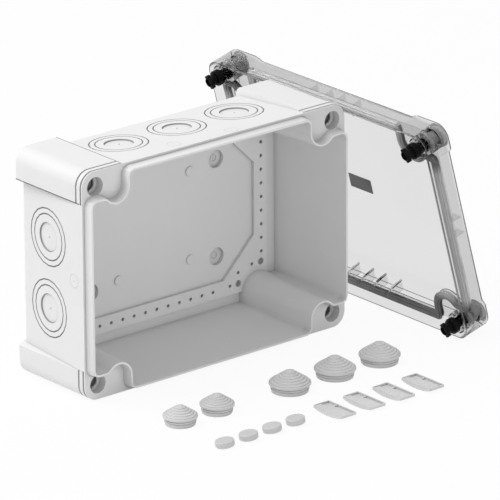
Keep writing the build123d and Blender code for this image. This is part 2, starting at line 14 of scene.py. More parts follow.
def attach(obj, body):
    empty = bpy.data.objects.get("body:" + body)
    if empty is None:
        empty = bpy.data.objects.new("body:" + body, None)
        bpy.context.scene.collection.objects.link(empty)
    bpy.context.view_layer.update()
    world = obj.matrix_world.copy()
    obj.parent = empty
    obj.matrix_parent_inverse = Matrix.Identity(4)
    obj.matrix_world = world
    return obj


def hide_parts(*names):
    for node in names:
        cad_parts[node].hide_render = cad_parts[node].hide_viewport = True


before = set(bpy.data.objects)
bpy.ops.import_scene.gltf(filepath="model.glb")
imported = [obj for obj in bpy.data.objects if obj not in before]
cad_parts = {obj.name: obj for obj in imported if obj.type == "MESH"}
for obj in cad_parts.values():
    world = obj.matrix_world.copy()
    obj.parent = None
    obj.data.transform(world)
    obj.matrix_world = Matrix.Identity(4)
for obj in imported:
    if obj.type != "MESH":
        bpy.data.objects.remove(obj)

LOG = logging.getLogger("junction_box")

Colour = Tuple[float, float, float]
Point = Tuple[float, float, float]
Pair = Tuple[float, float]
Face = Tuple[int, ...]
Stops = Tuple[Pair, ...]

MM = 0.001
BOX_FRAME = Matrix.Scale(MM, 4)
BOX_HALF_W = 142.5
BOX_HALF_H = 100.5
BOX_DEPTH = 90.0
FLOOR_Z = -BOX_HALF_H
FULL_TURN = 2.0 * math.pi
QUARTER_TURN = math.pi / 2.0
CORNERS = ((1, 1), (-1, 1), (-1, -1), (1, -1))
CORNER_STEPS = 5
DOME_STEPS = 6
DOME_SINK = 0.5
STRIP_STEPS = 5
STRIP_SINK = 0.2
RIDGE_STEPS = 6
WELD_REACH = 0.000002
X_AXIS: Point = (1.0, 0.0, 0.0)
Y_AXIS: Point = (0.0, 1.0, 0.0)
Z_AXIS: Point = (0.0, 0.0, 1.0)
WHITE = (1.0, 1.0, 1.0, 1.0)


def grey(level: float) -> Colour:
    """Grey of one level."""
    return (level, level, level)


def mirrored(quarter: Sequence[Pair]) -> List[Pair]:
    """Complete an outline from its upper right quarter.

    Args:
        quarter: Points of that quarter.

    Returns:
        The points of the whole outline, in order.
    """
    whole: List[Pair] = []
    for sx, sz in CORNERS:
        ordered = quarter if sx == sz else tuple(reversed(quarter))
        whole.extend((sx * x, sz * z) for x, z in ordered)
    return whole


class Body(Enum):
    """CAD bodies that the added pieces ride on."""

    BASE = "base"
    COVER = "cover"
    SCREW_1 = "screw_1"
    SCREW_2 = "screw_2"
    SCREW_3 = "screw_3"
    SCREW_4 = "screw_4"


class Socket:
    """One output of a shader node, with arithmetic that adds Math nodes."""

    def __init__(self, graph: "Graph", link: bpy.types.NodeSocket) -> None:
        """Keep the graph and the output that this wraps."""
        self.graph = graph
        self.link = link

    def _math(self, operation: str, first: "Input", second: "Input") -> "Socket":
        """Add one Math node.

        Args:
            operation: Name of the operation.
            first: First value or socket.
            second: Second value or socket.

        Returns:
            The result as a socket.
        """
        return self.graph.value("ShaderNodeMath", {"operation": operation}, {0: first, 1: second})

    def __add__(self, other: "Input") -> "Socket":
        """Sum."""
        return self._math("ADD", self, other)

    def __radd__(self, other: "Input") -> "Socket":
        """Sum with a number on the left."""
        return self._math("ADD", other, self)

    def __sub__(self, other: "Input") -> "Socket":
        """Difference."""
        return self._math("SUBTRACT", self, other)

    def __rsub__(self, other: "Input") -> "Socket":
        """Difference with a number on the left."""
        return self._math("SUBTRACT", other, self)

    def __mul__(self, other: "Input") -> "Socket":
        """Product."""
        return self._math("MULTIPLY", self, other)

    def __rmul__(self, other: "Input") -> "Socket":
        """Product with a number on the left."""
        return self._math("MULTIPLY", other, self)

    def __pow__(self, other: "Input") -> "Socket":
        """Power."""
        return self._math("POWER", self, other)


Input = Union[Socket, float, int, Sequence[float]]


class Graph:
    """Node tree of one material or of the world."""

    def __init__(self, tree: bpy.types.NodeTree) -> None:
        """Empty the tree and keep it."""
        tree.nodes.clear()
        self.tree = tree

    def node(
        self,
        kind: str,
        settings: Optional[Dict[str, Any]] = None,
        inputs: Optional[Dict[Union[str, int], Input]] = None,
    ) -> bpy.types.Node:
        """Add a node.

        Args:
            kind: Type of the node.
            settings: Its settings, which are set first; stops holds the stops of a ramp.
            inputs: Values or links of its sockets by name or number.

        Returns:
            The node.
        """
        made = self.tree.nodes.new(kind)
        for name, setting in (settings or {}).items():
            if name == "stops":
                self._set_stops(made.color_ramp, setting)
            else:
                setattr(made, name, setting)
        for key, given in (inputs or {}).items():
            if isinstance(given, Socket):
                self.tree.links.new(given.link, made.inputs[key])
            else:
                made.inputs[key].default_value = given
        return made

    def value(
        self,
        kind: str,
        settings: Optional[Dict[str, Any]] = None,
        inputs: Optional[Dict[Union[str, int], Input]] = None,
        output: Union[str, int] = 0,
    ) -> Socket:
        """Add a node and wrap one of its outputs.

        Args:
            kind: Type of the node.
            settings: Its settings.
            inputs: Values or links of its sockets.
            output: Name or number of the output.

        Returns:
            The output as a socket.
        """
        return Socket(self, self.node(kind, settings, inputs).outputs[output])

    @staticmethod
    def _set_stops(ramp: bpy.types.ColorRamp, stops: Sequence[Tuple[float, float]]) -> None:
        """Set the stops of a grey ramp.

        Args:
            ramp: The ramp.
            stops: Pairs of position and grey level.
        """
        while len(ramp.elements) < len(stops):
            ramp.elements.new(0.5)
        for element, (position, level) in zip(ramp.elements, stops):
            element.position = position
            element.color = (level, level, level, 1.0)

    def place(self) -> Socket:
        """Coordinates fixed to the object."""
        return self.value("ShaderNodeTexCoord", output="Object")

    def axes(self) -> Tuple[Socket, Socket, Socket]:
        """The three coordinates, each as a socket."""
        apart = self.node("ShaderNodeSeparateXYZ", {}, {0: self.place()})
        x, y, z = (Socket(self, apart.outputs[axis]) for axis in "XYZ")
        return x, y, z

    def size_of(self, value: Socket) -> Socket:
        """Value without its sign."""
        return self.value("ShaderNodeMath", {"operation": "ABSOLUTE"}, {0: value})

    def principled(self, inputs: Dict[Union[str, int], Input]) -> Socket:
        """Principled shader with these inputs."""
        return self.value("ShaderNodeBsdfPrincipled", {}, inputs)

    def blend(self, factor: Input, first: Socket, second: Socket) -> Socket:
        """Mix two shaders.

        Args:
            factor: Share of the second shader.
            first: First shader.
            second: Second shader.

        Returns:
            The mixed shader.
        """
        return self.value("ShaderNodeMixShader", {}, {0: factor, 1: first, 2: second})

    def noise(self, scale: float, detail: float, roughness: float = 0.55) -> Socket:
        """Noise over the object.

        Args:
            scale: Waves in a metre.
            detail: Number of octaves.
            roughness: Share of the finer octaves.

        Returns:
            The noise, from 0 to 1.
        """
        return self.value(
            "ShaderNodeTexNoise",
            {},
            {"Vector": self.place(), "Scale": scale, "Detail": detail, "Roughness": roughness},
        )

    def ramp(self, factor: Socket, stops: Sequence[Tuple[float, float]]) -> Socket:
        """Pass a value through a grey ramp.

        Args:
            factor: Value to change.
            stops: Pairs of position and level.

        Returns:
            The level.
        """
        return self.value("ShaderNodeValToRGB", {"stops": stops}, {"Fac": factor})

    def span(self, value: Socket, low: float, high: float) -> Socket:
        """Rise from 0 to 1 between two values.

        Args:
            value: Value to compare.
            low: Value where the rise starts.
            high: Value where it ends.

        Returns:
            The share, from 0 to 1.
        """
        ends = {"Value": value, "From Min": low, "From Max": high}
        return self.value("ShaderNodeMapRange", {"clamp": True}, ends)

    def crease(self, reach: float) -> Socket:
        """Find grooves and inner corners.

        Args:
            reach: How far the neighbouring surface is looked for, in metres.

        Returns:
            1 on open surface, less in a groove.
        """
        return self.value(
            "ShaderNodeAmbientOcclusion", {"samples": 8, "only_local": True}, {"Distance": reach}, "AO"
        )

    def mix(self, factor: Input, first: Union[Socket, Colour], second: Colour) -> Socket:
        """Mix two colours.

        Args:
            factor: Share of the second colour.
            first: First colour, plain or linked.
            second: Second colour.

        Returns:
            The mixed colour.
        """
        start: Input = first if isinstance(first, Socket) else (*first, 1.0)
        node = self.node("ShaderNodeMix", {"data_type": "RGBA"}, {0: factor, 6: start, 7: (*second, 1.0)})
        return Socket(self, node.outputs[2])

    def bump(self, height: Socket, depth: float) -> Socket:
        """Turn a height into a normal.

        Args:
            height: Height from 0 to 1.
            depth: Height of 1 in metres.

        Returns:
            The normal.
        """
        return self.value("ShaderNodeBump", {}, {"Height": height, "Distance": depth, "Strength": 1.0})

    def close(self, shader: Socket, volume: Optional[Socket] = None) -> None:
        """Link the shader and the volume to the material output.

        Args:
            shader: Surface shader.
            volume: Volume shader, if there is one.
        """
        links: Dict[Union[str, int], Input] = {"Surface": shader}
        if volume is not None:
            links["Volume"] = volume
        self.node("ShaderNodeOutputMaterial", {}, links)


def new_material(name: str) -> Tuple[bpy.types.Material, Graph]:
    """Start a material.

    Args:
        name: Its name.

    Returns:
        The material and its empty graph.
    """
    made = bpy.data.materials.new(name)
    made.use_nodes = True
    return made, Graph(made.node_tree)


@dataclass(frozen=True)
class MouldedPlastic:
    """Opaque moulded plastic with a fine spark-eroded grain, soft flow marks, light handling wear and painted
    shade in its grooves, inner corners and hollows.
    """

    name: str
    colour: Colour
    shade: Colour
    roughness: float = 0.42
    grain: float = 0.000012
    grain_scale: float = 2600.0
    scuffs: float = 0.35
    specular: float = 0.35
    # Painted shade: grooves and inner corners, found by occlusion, darken towards the crease shade colour.
    crease_shade_reach: float = 0.0020
    crease_shade_colour: Colour = (0.22, 0.22, 0.22)
    crease_shade_stops: Stops = ((0.20, 1.0), (0.42, 0.40), (0.55, 0.12), (0.85, 0.0))
    # Painted shade: hollows, found by a wider occlusion, darken too.
    hollow_shade_reach: float = 0.0100
    hollow_shade_share: float = 0.36
    hollow_shade_stops: Stops = ((0.35, 1.0), (0.90, 0.0))
    # Painted shade: in front of this plane the sealing lip takes a larger share of the painted hollow shade.
    lip_shade_y: Optional[float] = None
    lip_shade_band: Pair = (-0.0006, 0.0004)
    lip_shade_share: float = 0.50
    flow_scale: float = 14.0
    scratch_stretch: Point = (40.0, 900.0, 240.0)
    scratch_stops: Stops = ((0.66, 0.0), (0.74, 1.0))
    dust_stops: Stops = ((0.35, 0.0), (0.75, 1.0))
    dust_share: float = 0.5
    grain_share: float = 0.3
    rough_swing: float = 0.1
    scuff_depth: float = 0.25

    def material(self) -> bpy.types.Material:
        """Make the material.

        Returns:
            The material.
        """
        made, graph = new_material(self.name)
        flow = graph.noise(self.flow_scale, 3.0)
        fine = graph.noise(self.grain_scale, 2.0)
        drawn = graph.value("ShaderNodeMapping", {}, {"Vector": graph.place(), "Scale": self.scratch_stretch})
        scratches = graph.value("ShaderNodeTexNoise", {}, {"Vector": drawn, "Scale": 1.0, "Detail": 2.0})
        scuff = graph.ramp(scratches, self.scratch_stops) * self.scuffs
        dust = graph.ramp(flow, self.dust_stops)
        body = graph.mix(dust * self.dust_share + fine * self.grain_share, self.colour, self.shade)
        # Painted shade, not a colour of the plastic: occlusion darkens grooves, inner corners and hollows.
        groove = graph.ramp(graph.crease(self.crease_shade_reach), self.crease_shade_stops)
        share: Input = self.hollow_shade_share
        # Painted shade: more hollow shade on the lip in front of its plane.
        if self.lip_shade_y is not None:
            low, high = self.lip_shade_band
            before = 1.0 - graph.span(graph.axes()[1], self.lip_shade_y + low, self.lip_shade_y + high)
            share = before * self.lip_shade_share + self.hollow_shade_share
        hollow_shade = graph.ramp(graph.crease(self.hollow_shade_reach), self.hollow_shade_stops) * share
        colour = graph.mix(groove, graph.mix(hollow_shade, body, self.crease_shade_colour), self.crease_shade_colour)
        swing = self.rough_swing
        rough = self.roughness - swing / 2.0 + flow * swing + scuff * swing
        height = fine + scuff * self.scuff_depth
        shader = graph.principled(
            {
                "Base Color": colour,
                "Roughness": rough,
                "Normal": graph.bump(height, self.grain),
                "Specular IOR Level": self.specular,
            }
        )
        graph.close(shader)
        return made


@dataclass(frozen=True)
class TubePlaces:
    """Where the four screw tubes of the leaning lid stand, in metres."""

    foot: Point
    lean_deg: float
    half_h: float
    screw_x: float
    screw_z: float
    inner: float
    outer: float
    start: float
    start_band: float = 0.0015

    def near(self, graph: Graph) -> Socket:
        """Share of the tubes at a point.

        Args:
            graph: Graph of the material.

        Returns:
            1 within a tube, 0 away from it.
        """
        lean = math.radians(self.lean_deg)
        x, y, z = graph.axes()
        up = (z - self.foot[2]) * math.cos(lean) - (x - self.foot[0]) * math.sin(lean)
        across = graph.size_of(y - self.foot[1]) - self.screw_x
        along = graph.size_of(up - self.half_h) - self.screw_z
        reach = (across * across + along * along) ** 0.5
        deep = (x - self.foot[0]) * math.cos(lean) + (z - self.foot[2]) * math.sin(lean)
        inside = 1.0 - graph.span(reach, self.inner, self.outer)
        return inside * graph.span(deep, self.start, self.start + self.start_band)


@dataclass(frozen=True)
class ClearPlastic:
    """Smoky transparent plastic: the tint comes from the path of the light through it, and painted shade
    darkens it where its surface turns away from view.
    """

    name: str
    tint: Colour
    density: float
    tubes: TubePlaces
    frost: float = 0.75
    frost_grey: float = 0.26
    frost_cloud: float = 1.25
    frost_rough: float = 0.45
    # Painted shade: a dark diffuse share at grazing angles draws dark outlines on the edges.
    rim_shade_grey: float = 0.12
    rim_shade_share: float = 0.8
    rim_shade_band: Pair = (0.80, 1.0)
    clear: float = 0.84
    shadow_clear: float = 0.93
    roughness: float = 0.02
    haze_scale: float = 30.0
    haze_rough: float = 0.03
    ripple_scale: float = 90.0
    ripple_depth: float = 0.00001
    ior: float = 1.10

    def material(self) -> bpy.types.Material:
        """Make the material.

        Returns:
            The material.
        """
        made, graph = new_material(self.name)
        haze = graph.noise(self.haze_scale, 3.0)
        ripple = graph.noise(self.ripple_scale, 1.0)
        body = graph.principled(
            {
                "Base Color": (*grey(self.clear), 1.0),
                "Roughness": self.roughness + haze * self.haze_rough,
                "IOR": self.ior,
                "Transmission Weight": 1.0,
                "Normal": graph.bump(ripple, self.ripple_depth),
            }
        )
        milk = graph.mix(haze, grey(self.frost_grey), grey(self.frost_grey * self.frost_cloud))
        frosted = graph.principled({"Base Color": milk, "Roughness": self.frost_rough})
        walls = graph.blend(self.tubes.near(graph) * self.frost, body, frosted)
        # Painted shade: dark outlines where the surface turns away from view.
        facing = graph.value("ShaderNodeLayerWeight", {}, {"Blend": 0.5}, "Facing")
        rim = graph.value("ShaderNodeBsdfDiffuse", {}, {"Color": (*grey(self.rim_shade_grey), 1.0)})
        edge_shaded = graph.blend(graph.span(facing, *self.rim_shade_band) * self.rim_shade_share, walls, rim)
        shadow = graph.value("ShaderNodeLightPath", output="Is Shadow Ray")
        clear = graph.value("ShaderNodeBsdfTransparent", {}, {"Color": (*grey(self.shadow_clear), 1.0)})
        shader = graph.blend(shadow, edge_shaded, clear)
        smoke = {"Color": (*self.tint, 1.0), "Density": self.density}
        volume = graph.value("ShaderNodeVolumeAbsorption", {}, smoke)
        graph.close(shader, volume)
        return made


@dataclass(frozen=True)
class SoftRubber:
    """Satin rubber or foam with a fine open skin, a pale bloom and painted shade in its creases."""

    name: str
    colour: Colour
    bloom: Colour
    roughness: float = 0.55
    pores: float = 0.00003
    pore_scale: float = 1600.0
    cloud_scale: float = 45.0
    specular: float = 0.4
    veil_stops: Stops = ((0.4, 0.0), (0.8, 1.0))
    crease_shade_reach: float = 0.0012
    crease_shade_stops: Stops = ((0.30, 1.0), (0.80, 0.0))
    crease_shade_share: float = 0.35
    crease_shade_dark: float = 0.3
    bloom_shares: Pair = (0.6, 0.2)
    rough_swing: float = 0.12

    def material(self) -> bpy.types.Material:
        """Make the material.

        Returns:
            The material.
        """
        made, graph = new_material(self.name)
        skin = graph.noise(self.pore_scale, 3.0)
        cloud = graph.noise(self.cloud_scale, 3.0)
        veil = graph.ramp(cloud, self.veil_stops)
        broad, fine = self.bloom_shares
        body = graph.mix(veil * broad + skin * fine, self.colour, self.bloom)
        # Painted shade: creases found by occlusion darken the rubber.
        groove = graph.ramp(graph.crease(self.crease_shade_reach), self.crease_shade_stops) * self.crease_shade_share
        dark = tuple(self.crease_shade_dark * level for level in self.colour)
        shader = graph.principled(
            {
                "Base Color": graph.mix(groove, body, dark),
                "Roughness": self.roughness - self.rough_swing / 2.0 + cloud * self.rough_swing,
                "Normal": graph.bump(skin, self.pores),
                "Specular IOR Level": self.specular,
            }
        )
        graph.close(shader)
        return made


@dataclass(frozen=True)
class SealFoam:
    """Soft seal, dark round the screws and along the foot of the lid and paler along its other runs."""

    name: str
    dark: Colour
    pale: Colour
    middle_y: float
    floor_z: float
    lean_deg: float
    roughness: float = 0.85
    specular: float = 0.15
    pores: float = 0.00002
    pore_scale: float = 1500.0
    cloud_scale: float = 60.0
    side_start: Pair = (0.030, 0.038)
    side_end: Pair = (0.163, 0.172)
    top_start: Pair = (0.170, 0.176)
    top_end: Pair = (0.094, 0.102)
    dark_shares: Pair = (0.20, 0.15)
    rough_swing: float = 0.1

    def material(self) -> bpy.types.Material:
        """Make the material.

        Returns:
            The material.
        """
        made, graph = new_material(self.name)
        skin = graph.noise(self.pore_scale, 3.0)
        cloud = graph.noise(self.cloud_scale, 3.0)
        _, y, z = graph.axes()
        along = graph.size_of(y - self.middle_y)
        up = (z - self.floor_z) * (1.0 / math.cos(math.radians(self.lean_deg)))
        side_run = graph.span(up, *self.side_start) * (1.0 - graph.span(up, *self.side_end))
        top_run = graph.span(up, *self.top_start) * (1.0 - graph.span(along, *self.top_end))
        body = graph.mix(side_run + top_run, self.dark, self.pale)
        broad, fine = self.dark_shares
        shader = graph.principled(
            {
                "Base Color": graph.mix(cloud * broad + skin * fine, body, grey(0.0)),
                "Roughness": self.roughness - self.rough_swing / 2.0 + cloud * self.rough_swing,
                "Normal": graph.bump(skin, self.pores),
                "Specular IOR Level": self.specular,
            }
        )
        graph.close(shader)
        return made


@dataclass(frozen=True)
class GlossBlack:
    """Glossy black plastic with faint swirl marks."""

    name: str
    colour: Colour
    roughness: float = 0.22
    specular: float = 0.06
    swirl_scale: float = 700.0
    swirl_depth: float = 0.00001
    patch_scale: float = 120.0
    patch_share: float = 0.5
    patch_rough: float = 0.1

    def material(self) -> bpy.types.Material:
        """Make the material.

        Returns:
            The material.
        """
        made, graph = new_material(self.name)
        swirl = graph.noise(self.swirl_scale, 3.0)
        patch = graph.noise(self.patch_scale, 2.0)
        paler = tuple(2.0 * level for level in self.colour)
        shader = graph.principled(
            {
                "Base Color": graph.mix(patch * self.patch_share, self.colour, paler),
                "Roughness": self.roughness + patch * self.patch_rough,
                "Normal": graph.bump(swirl, self.swirl_depth),
                "Specular IOR Level": self.specular,
            }
        )
        graph.close(shader)
        return made


def circle(radius: float, height: float, segments: int) -> List[Point]:
    """Points of a circle about local Z.

    Args:
        radius: Its radius.
        height: Its height.
        segments: Number of points.

    Returns:
        The points.
    """
    steps = [FULL_TURN * i / segments for i in range(segments)]
    return [(radius * math.cos(a), radius * math.sin(a), height) for a in steps]


def rounded(width: float, height: float, corner: float, level: float) -> List[Point]:
    """Points of a rectangle with round corners in the local XY plane.

    Args:
        width: Its size along X.
        height: Its size along Y.
        corner: Radius of its corners.
        level: Its height along Z.

    Returns:
        The points.
    """
    points = []
    for quarter, (sx, sy) in enumerate(CORNERS):
        for step in range(CORNER_STEPS + 1):
            angle = QUARTER_TURN * (quarter + step / CORNER_STEPS)
            x = sx * (width / 2.0 - corner) + corner * math.cos(angle)
            y = sy * (height / 2.0 - corner) + corner * math.sin(angle)
            points.append((x, y, level))
    return points


@dataclass
class MeshMaker:
    """Collects the vertices and faces of one mesh piece."""

    verts: List[Point] = field(default_factory=list)
    faces: List[Face] = field(default_factory=list)
    slots: List[int] = field(default_factory=list)

    def loops(
        self, rings: Sequence[Sequence[Point]], closed: bool, bands: Optional[Sequence[int]] = None
    ) -> None:
        """Join rings of points into a skin.

        Args:
            rings: Rings with the same number of points.
            closed: Whether the last ring joins the first.
            bands: Material slot of the faces between each ring and the next.
        """
        base = len(self.verts)
        count = len(rings[0])
        for ring in rings:
            self.verts.extend(ring)
        last = len(rings) if closed else len(rings) - 1
        for i in range(last):
            for j in range(count):
                k = (j + 1) % count
                low, high = base + i * count, base + ((i + 1) % len(rings)) * count
                self.faces.append((low + j, low + k, high + k, high + j))
                self.slots.append(bands[i] if bands else 0)
        if not closed:
            self.faces.append(tuple(base + j for j in reversed(range(count))))
            self.faces.append(tuple(base + (len(rings) - 1) * count + j for j in range(count)))
            self.slots.extend((0, 0))

    def turned(self, profile: Sequence[Pair], segments: int) -> None:
        """Turn a closed profile of radius and height about local Z.

        Args:
            profile: Closed outline as pairs of radius and height.
            segments: Steps round the turn.
        """
        rings = []
        for i in range(segments):
            angle = FULL_TURN * i / segments
            rings.append([(r * math.cos(angle), r * math.sin(angle), h) for r, h in profile])
        self.loops(rings, True)

    def dome(self, radius: float, height: float, segments: int) -> None:
        """Add a low dome about local Z, sunk a little into what carries it.

        Args:
            radius: Radius at its foot.
            height: Its height.
            segments: Steps round it.
        """
        rings = [circle(radius, -height * DOME_SINK, segments)]
        for step in range(1, DOME_STEPS):
            angle = QUARTER_TURN * step / DOME_STEPS
            rings.append(circle(radius * math.cos(angle), height * math.sin(angle), segments))
        self.loops(rings, False)

    def strip(
        self, start: Point, end: Point, half_width: float, height: float, side: Point, rise: Point
    ) -> None:
        """Add a thin straight lip with a rounded back.

        Args:
            start: Middle of its foot at one end.
            end: Middle of its foot at the other end.
            half_width: Half of its width.
            height: Its height.
            side: Direction across it.
            rise: Direction in which it stands.
        """
        rings = []
        for point in (start, end):
            ring = []
            for step in range(STRIP_STEPS + 1):
                angle = math.pi * step / STRIP_STEPS
                across, up = half_width * math.cos(angle), height * math.sin(angle)
                ring.append(tuple(point[i] + across * side[i] + up * rise[i] for i in range(3)))
            for across in (-half_width, half_width):
                ring.append(tuple(point[i] + across * side[i] - STRIP_SINK * rise[i] for i in range(3)))
            rings.append(ring)
        self.loops(rings, False)

    def piece(
        self,
        name: str,
        place: Matrix,
        finishes: Sequence[bpy.types.Material],
        body: Body,
        smooth_deg: float = 40.0,
    ) -> bpy.types.Object:
        """Make the object and let it ride on a body.

        Args:
            name: Name of the piece.
            place: Where its local frame stands.
            finishes: Its materials by slot.
            body: Body that it rides on.
            smooth_deg: Edges up to this angle are shaded smooth.

        Returns:
            The object.
        """
        mesh = bpy.data.meshes.new(name)
        mesh.from_pydata(self.verts, [], self.faces)
        mesh.transform(place)
        for polygon, slot in zip(mesh.polygons, self.slots):
            polygon.use_smooth = True
            polygon.material_index = slot
        shape = bmesh.new()
        shape.from_mesh(mesh)
        bmesh.ops.recalc_face_normals(shape, faces=shape.faces)
        limit = math.radians(smooth_deg)
        for edge in shape.edges:
            edge.smooth = len(edge.link_faces) == 2 and edge.calc_face_angle(0.0) <= limit
        shape.to_mesh(mesh)
        shape.free()
        for finish in finishes:
            mesh.materials.append(finish)
        made = bpy.data.objects.new(name, mesh)
        bpy.context.scene.collection.objects.link(made)
        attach(made, body.value)
        LOG.info("%s: %d faces", name, len(mesh.polygons))
        return made


def soft_edges(limit_deg: float) -> bpy.types.GeometryNodeTree:
    """Make the node group that shades round faces smooth and keeps their real edges.

    Args:
        limit_deg: Edges up to this angle are shaded smooth.

    Returns:
        The node group.
    """
    name = f"soft_edges_{limit_deg:.0f}"
    if name in bpy.data.node_groups:
        return bpy.data.node_groups[name]
    tree = bpy.data.node_groups.new(name, "GeometryNodeTree")
    tree.interface.new_socket("Geometry", in_out="INPUT", socket_type="NodeSocketGeometry")
    tree.interface.new_socket("Geometry", in_out="OUTPUT", socket_type="NodeSocketGeometry")
    entry = tree.nodes.new("NodeGroupInput")
    weld = tree.nodes.new("GeometryNodeMergeByDistance")
    weld.inputs["Distance"].default_value = WELD_REACH
    angle = tree.nodes.new("GeometryNodeInputMeshEdgeAngle")
    sharp = tree.nodes.new("FunctionNodeCompare")
    sharp.data_type = "FLOAT"
    sharp.operation = "GREATER_THAN"
    sharp.inputs[1].default_value = math.radians(limit_deg)
    normals = tree.nodes.new("GeometryNodeSetMeshNormal")
    normals.mode = "SHARPNESS"
    normals.inputs["Remove Custom"].default_value = True
    normals.inputs["Face Sharpness"].default_value = False
    leave = tree.nodes.new("NodeGroupOutput")
    tree.links.new(entry.outputs[0], weld.inputs["Geometry"])
    tree.links.new(weld.outputs[0], normals.inputs["Mesh"])
    tree.links.new(angle.outputs["Unsigned Angle"], sharp.inputs[0])
    tree.links.new(sharp.outputs[0], normals.inputs["Edge Sharpness"])
    tree.links.new(normals.outputs[0], leave.inputs[0])
    return tree


def dress(node: str, finish: bpy.types.Material, smooth_deg: float = 32.0) -> bpy.types.Object:
    """Give a CAD node its finish and shade its round faces smooth.

    Args:
        node: Name of the node.
        finish: Its material.
        smooth_deg: Edges up to this angle are shaded smooth.

    Returns:
        The object of the node.
    """
    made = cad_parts[node]
    made.data.materials.clear()
    made.data.materials.append(finish)
    shading = made.modifiers.new("soft_edges", "NODES")
    shading.node_group = soft_edges(smooth_deg)
    LOG.info("%s dressed with %s", node, finish.name)
    return made


def stand(point: Point, normal: Point, along: Point = X_AXIS) -> Matrix:
    """Frame of a piece that stands on a surface.

    Args:
        point: Its place in millimetres.
        normal: Direction of the surface there, which becomes the local Z.
        along: Direction in the surface that becomes the local X.

    Returns:
        The frame, which also turns millimetres into metres.
    """
    up, right = Vector(normal).normalized(), Vector(along).normalized()
    turn = Matrix((right, up.cross(right), up)).transposed().to_4x4()
    return Matrix.Translation(Vector(point) * MM) @ turn @ Matrix.Scale(MM, 4)


def ridge(radius: float, width: float, height: float) -> List[Pair]:
    """Rounded section of a raised ring, sunk a little into what carries it.

    Args:
        radius: Middle radius of the ring.
        width: Its width.
        height: Its height.

    Returns:
        Closed outline as pairs of radius and height.
    """
    half = width / 2.0
    section = [(radius + half, -height)]
    for step in range(RIDGE_STEPS + 1):
        angle = math.pi * step / RIDGE_STEPS
        section.append((radius + half * math.cos(angle), height * math.sin(angle)))
    section.append((radius - half, -height))
    return section


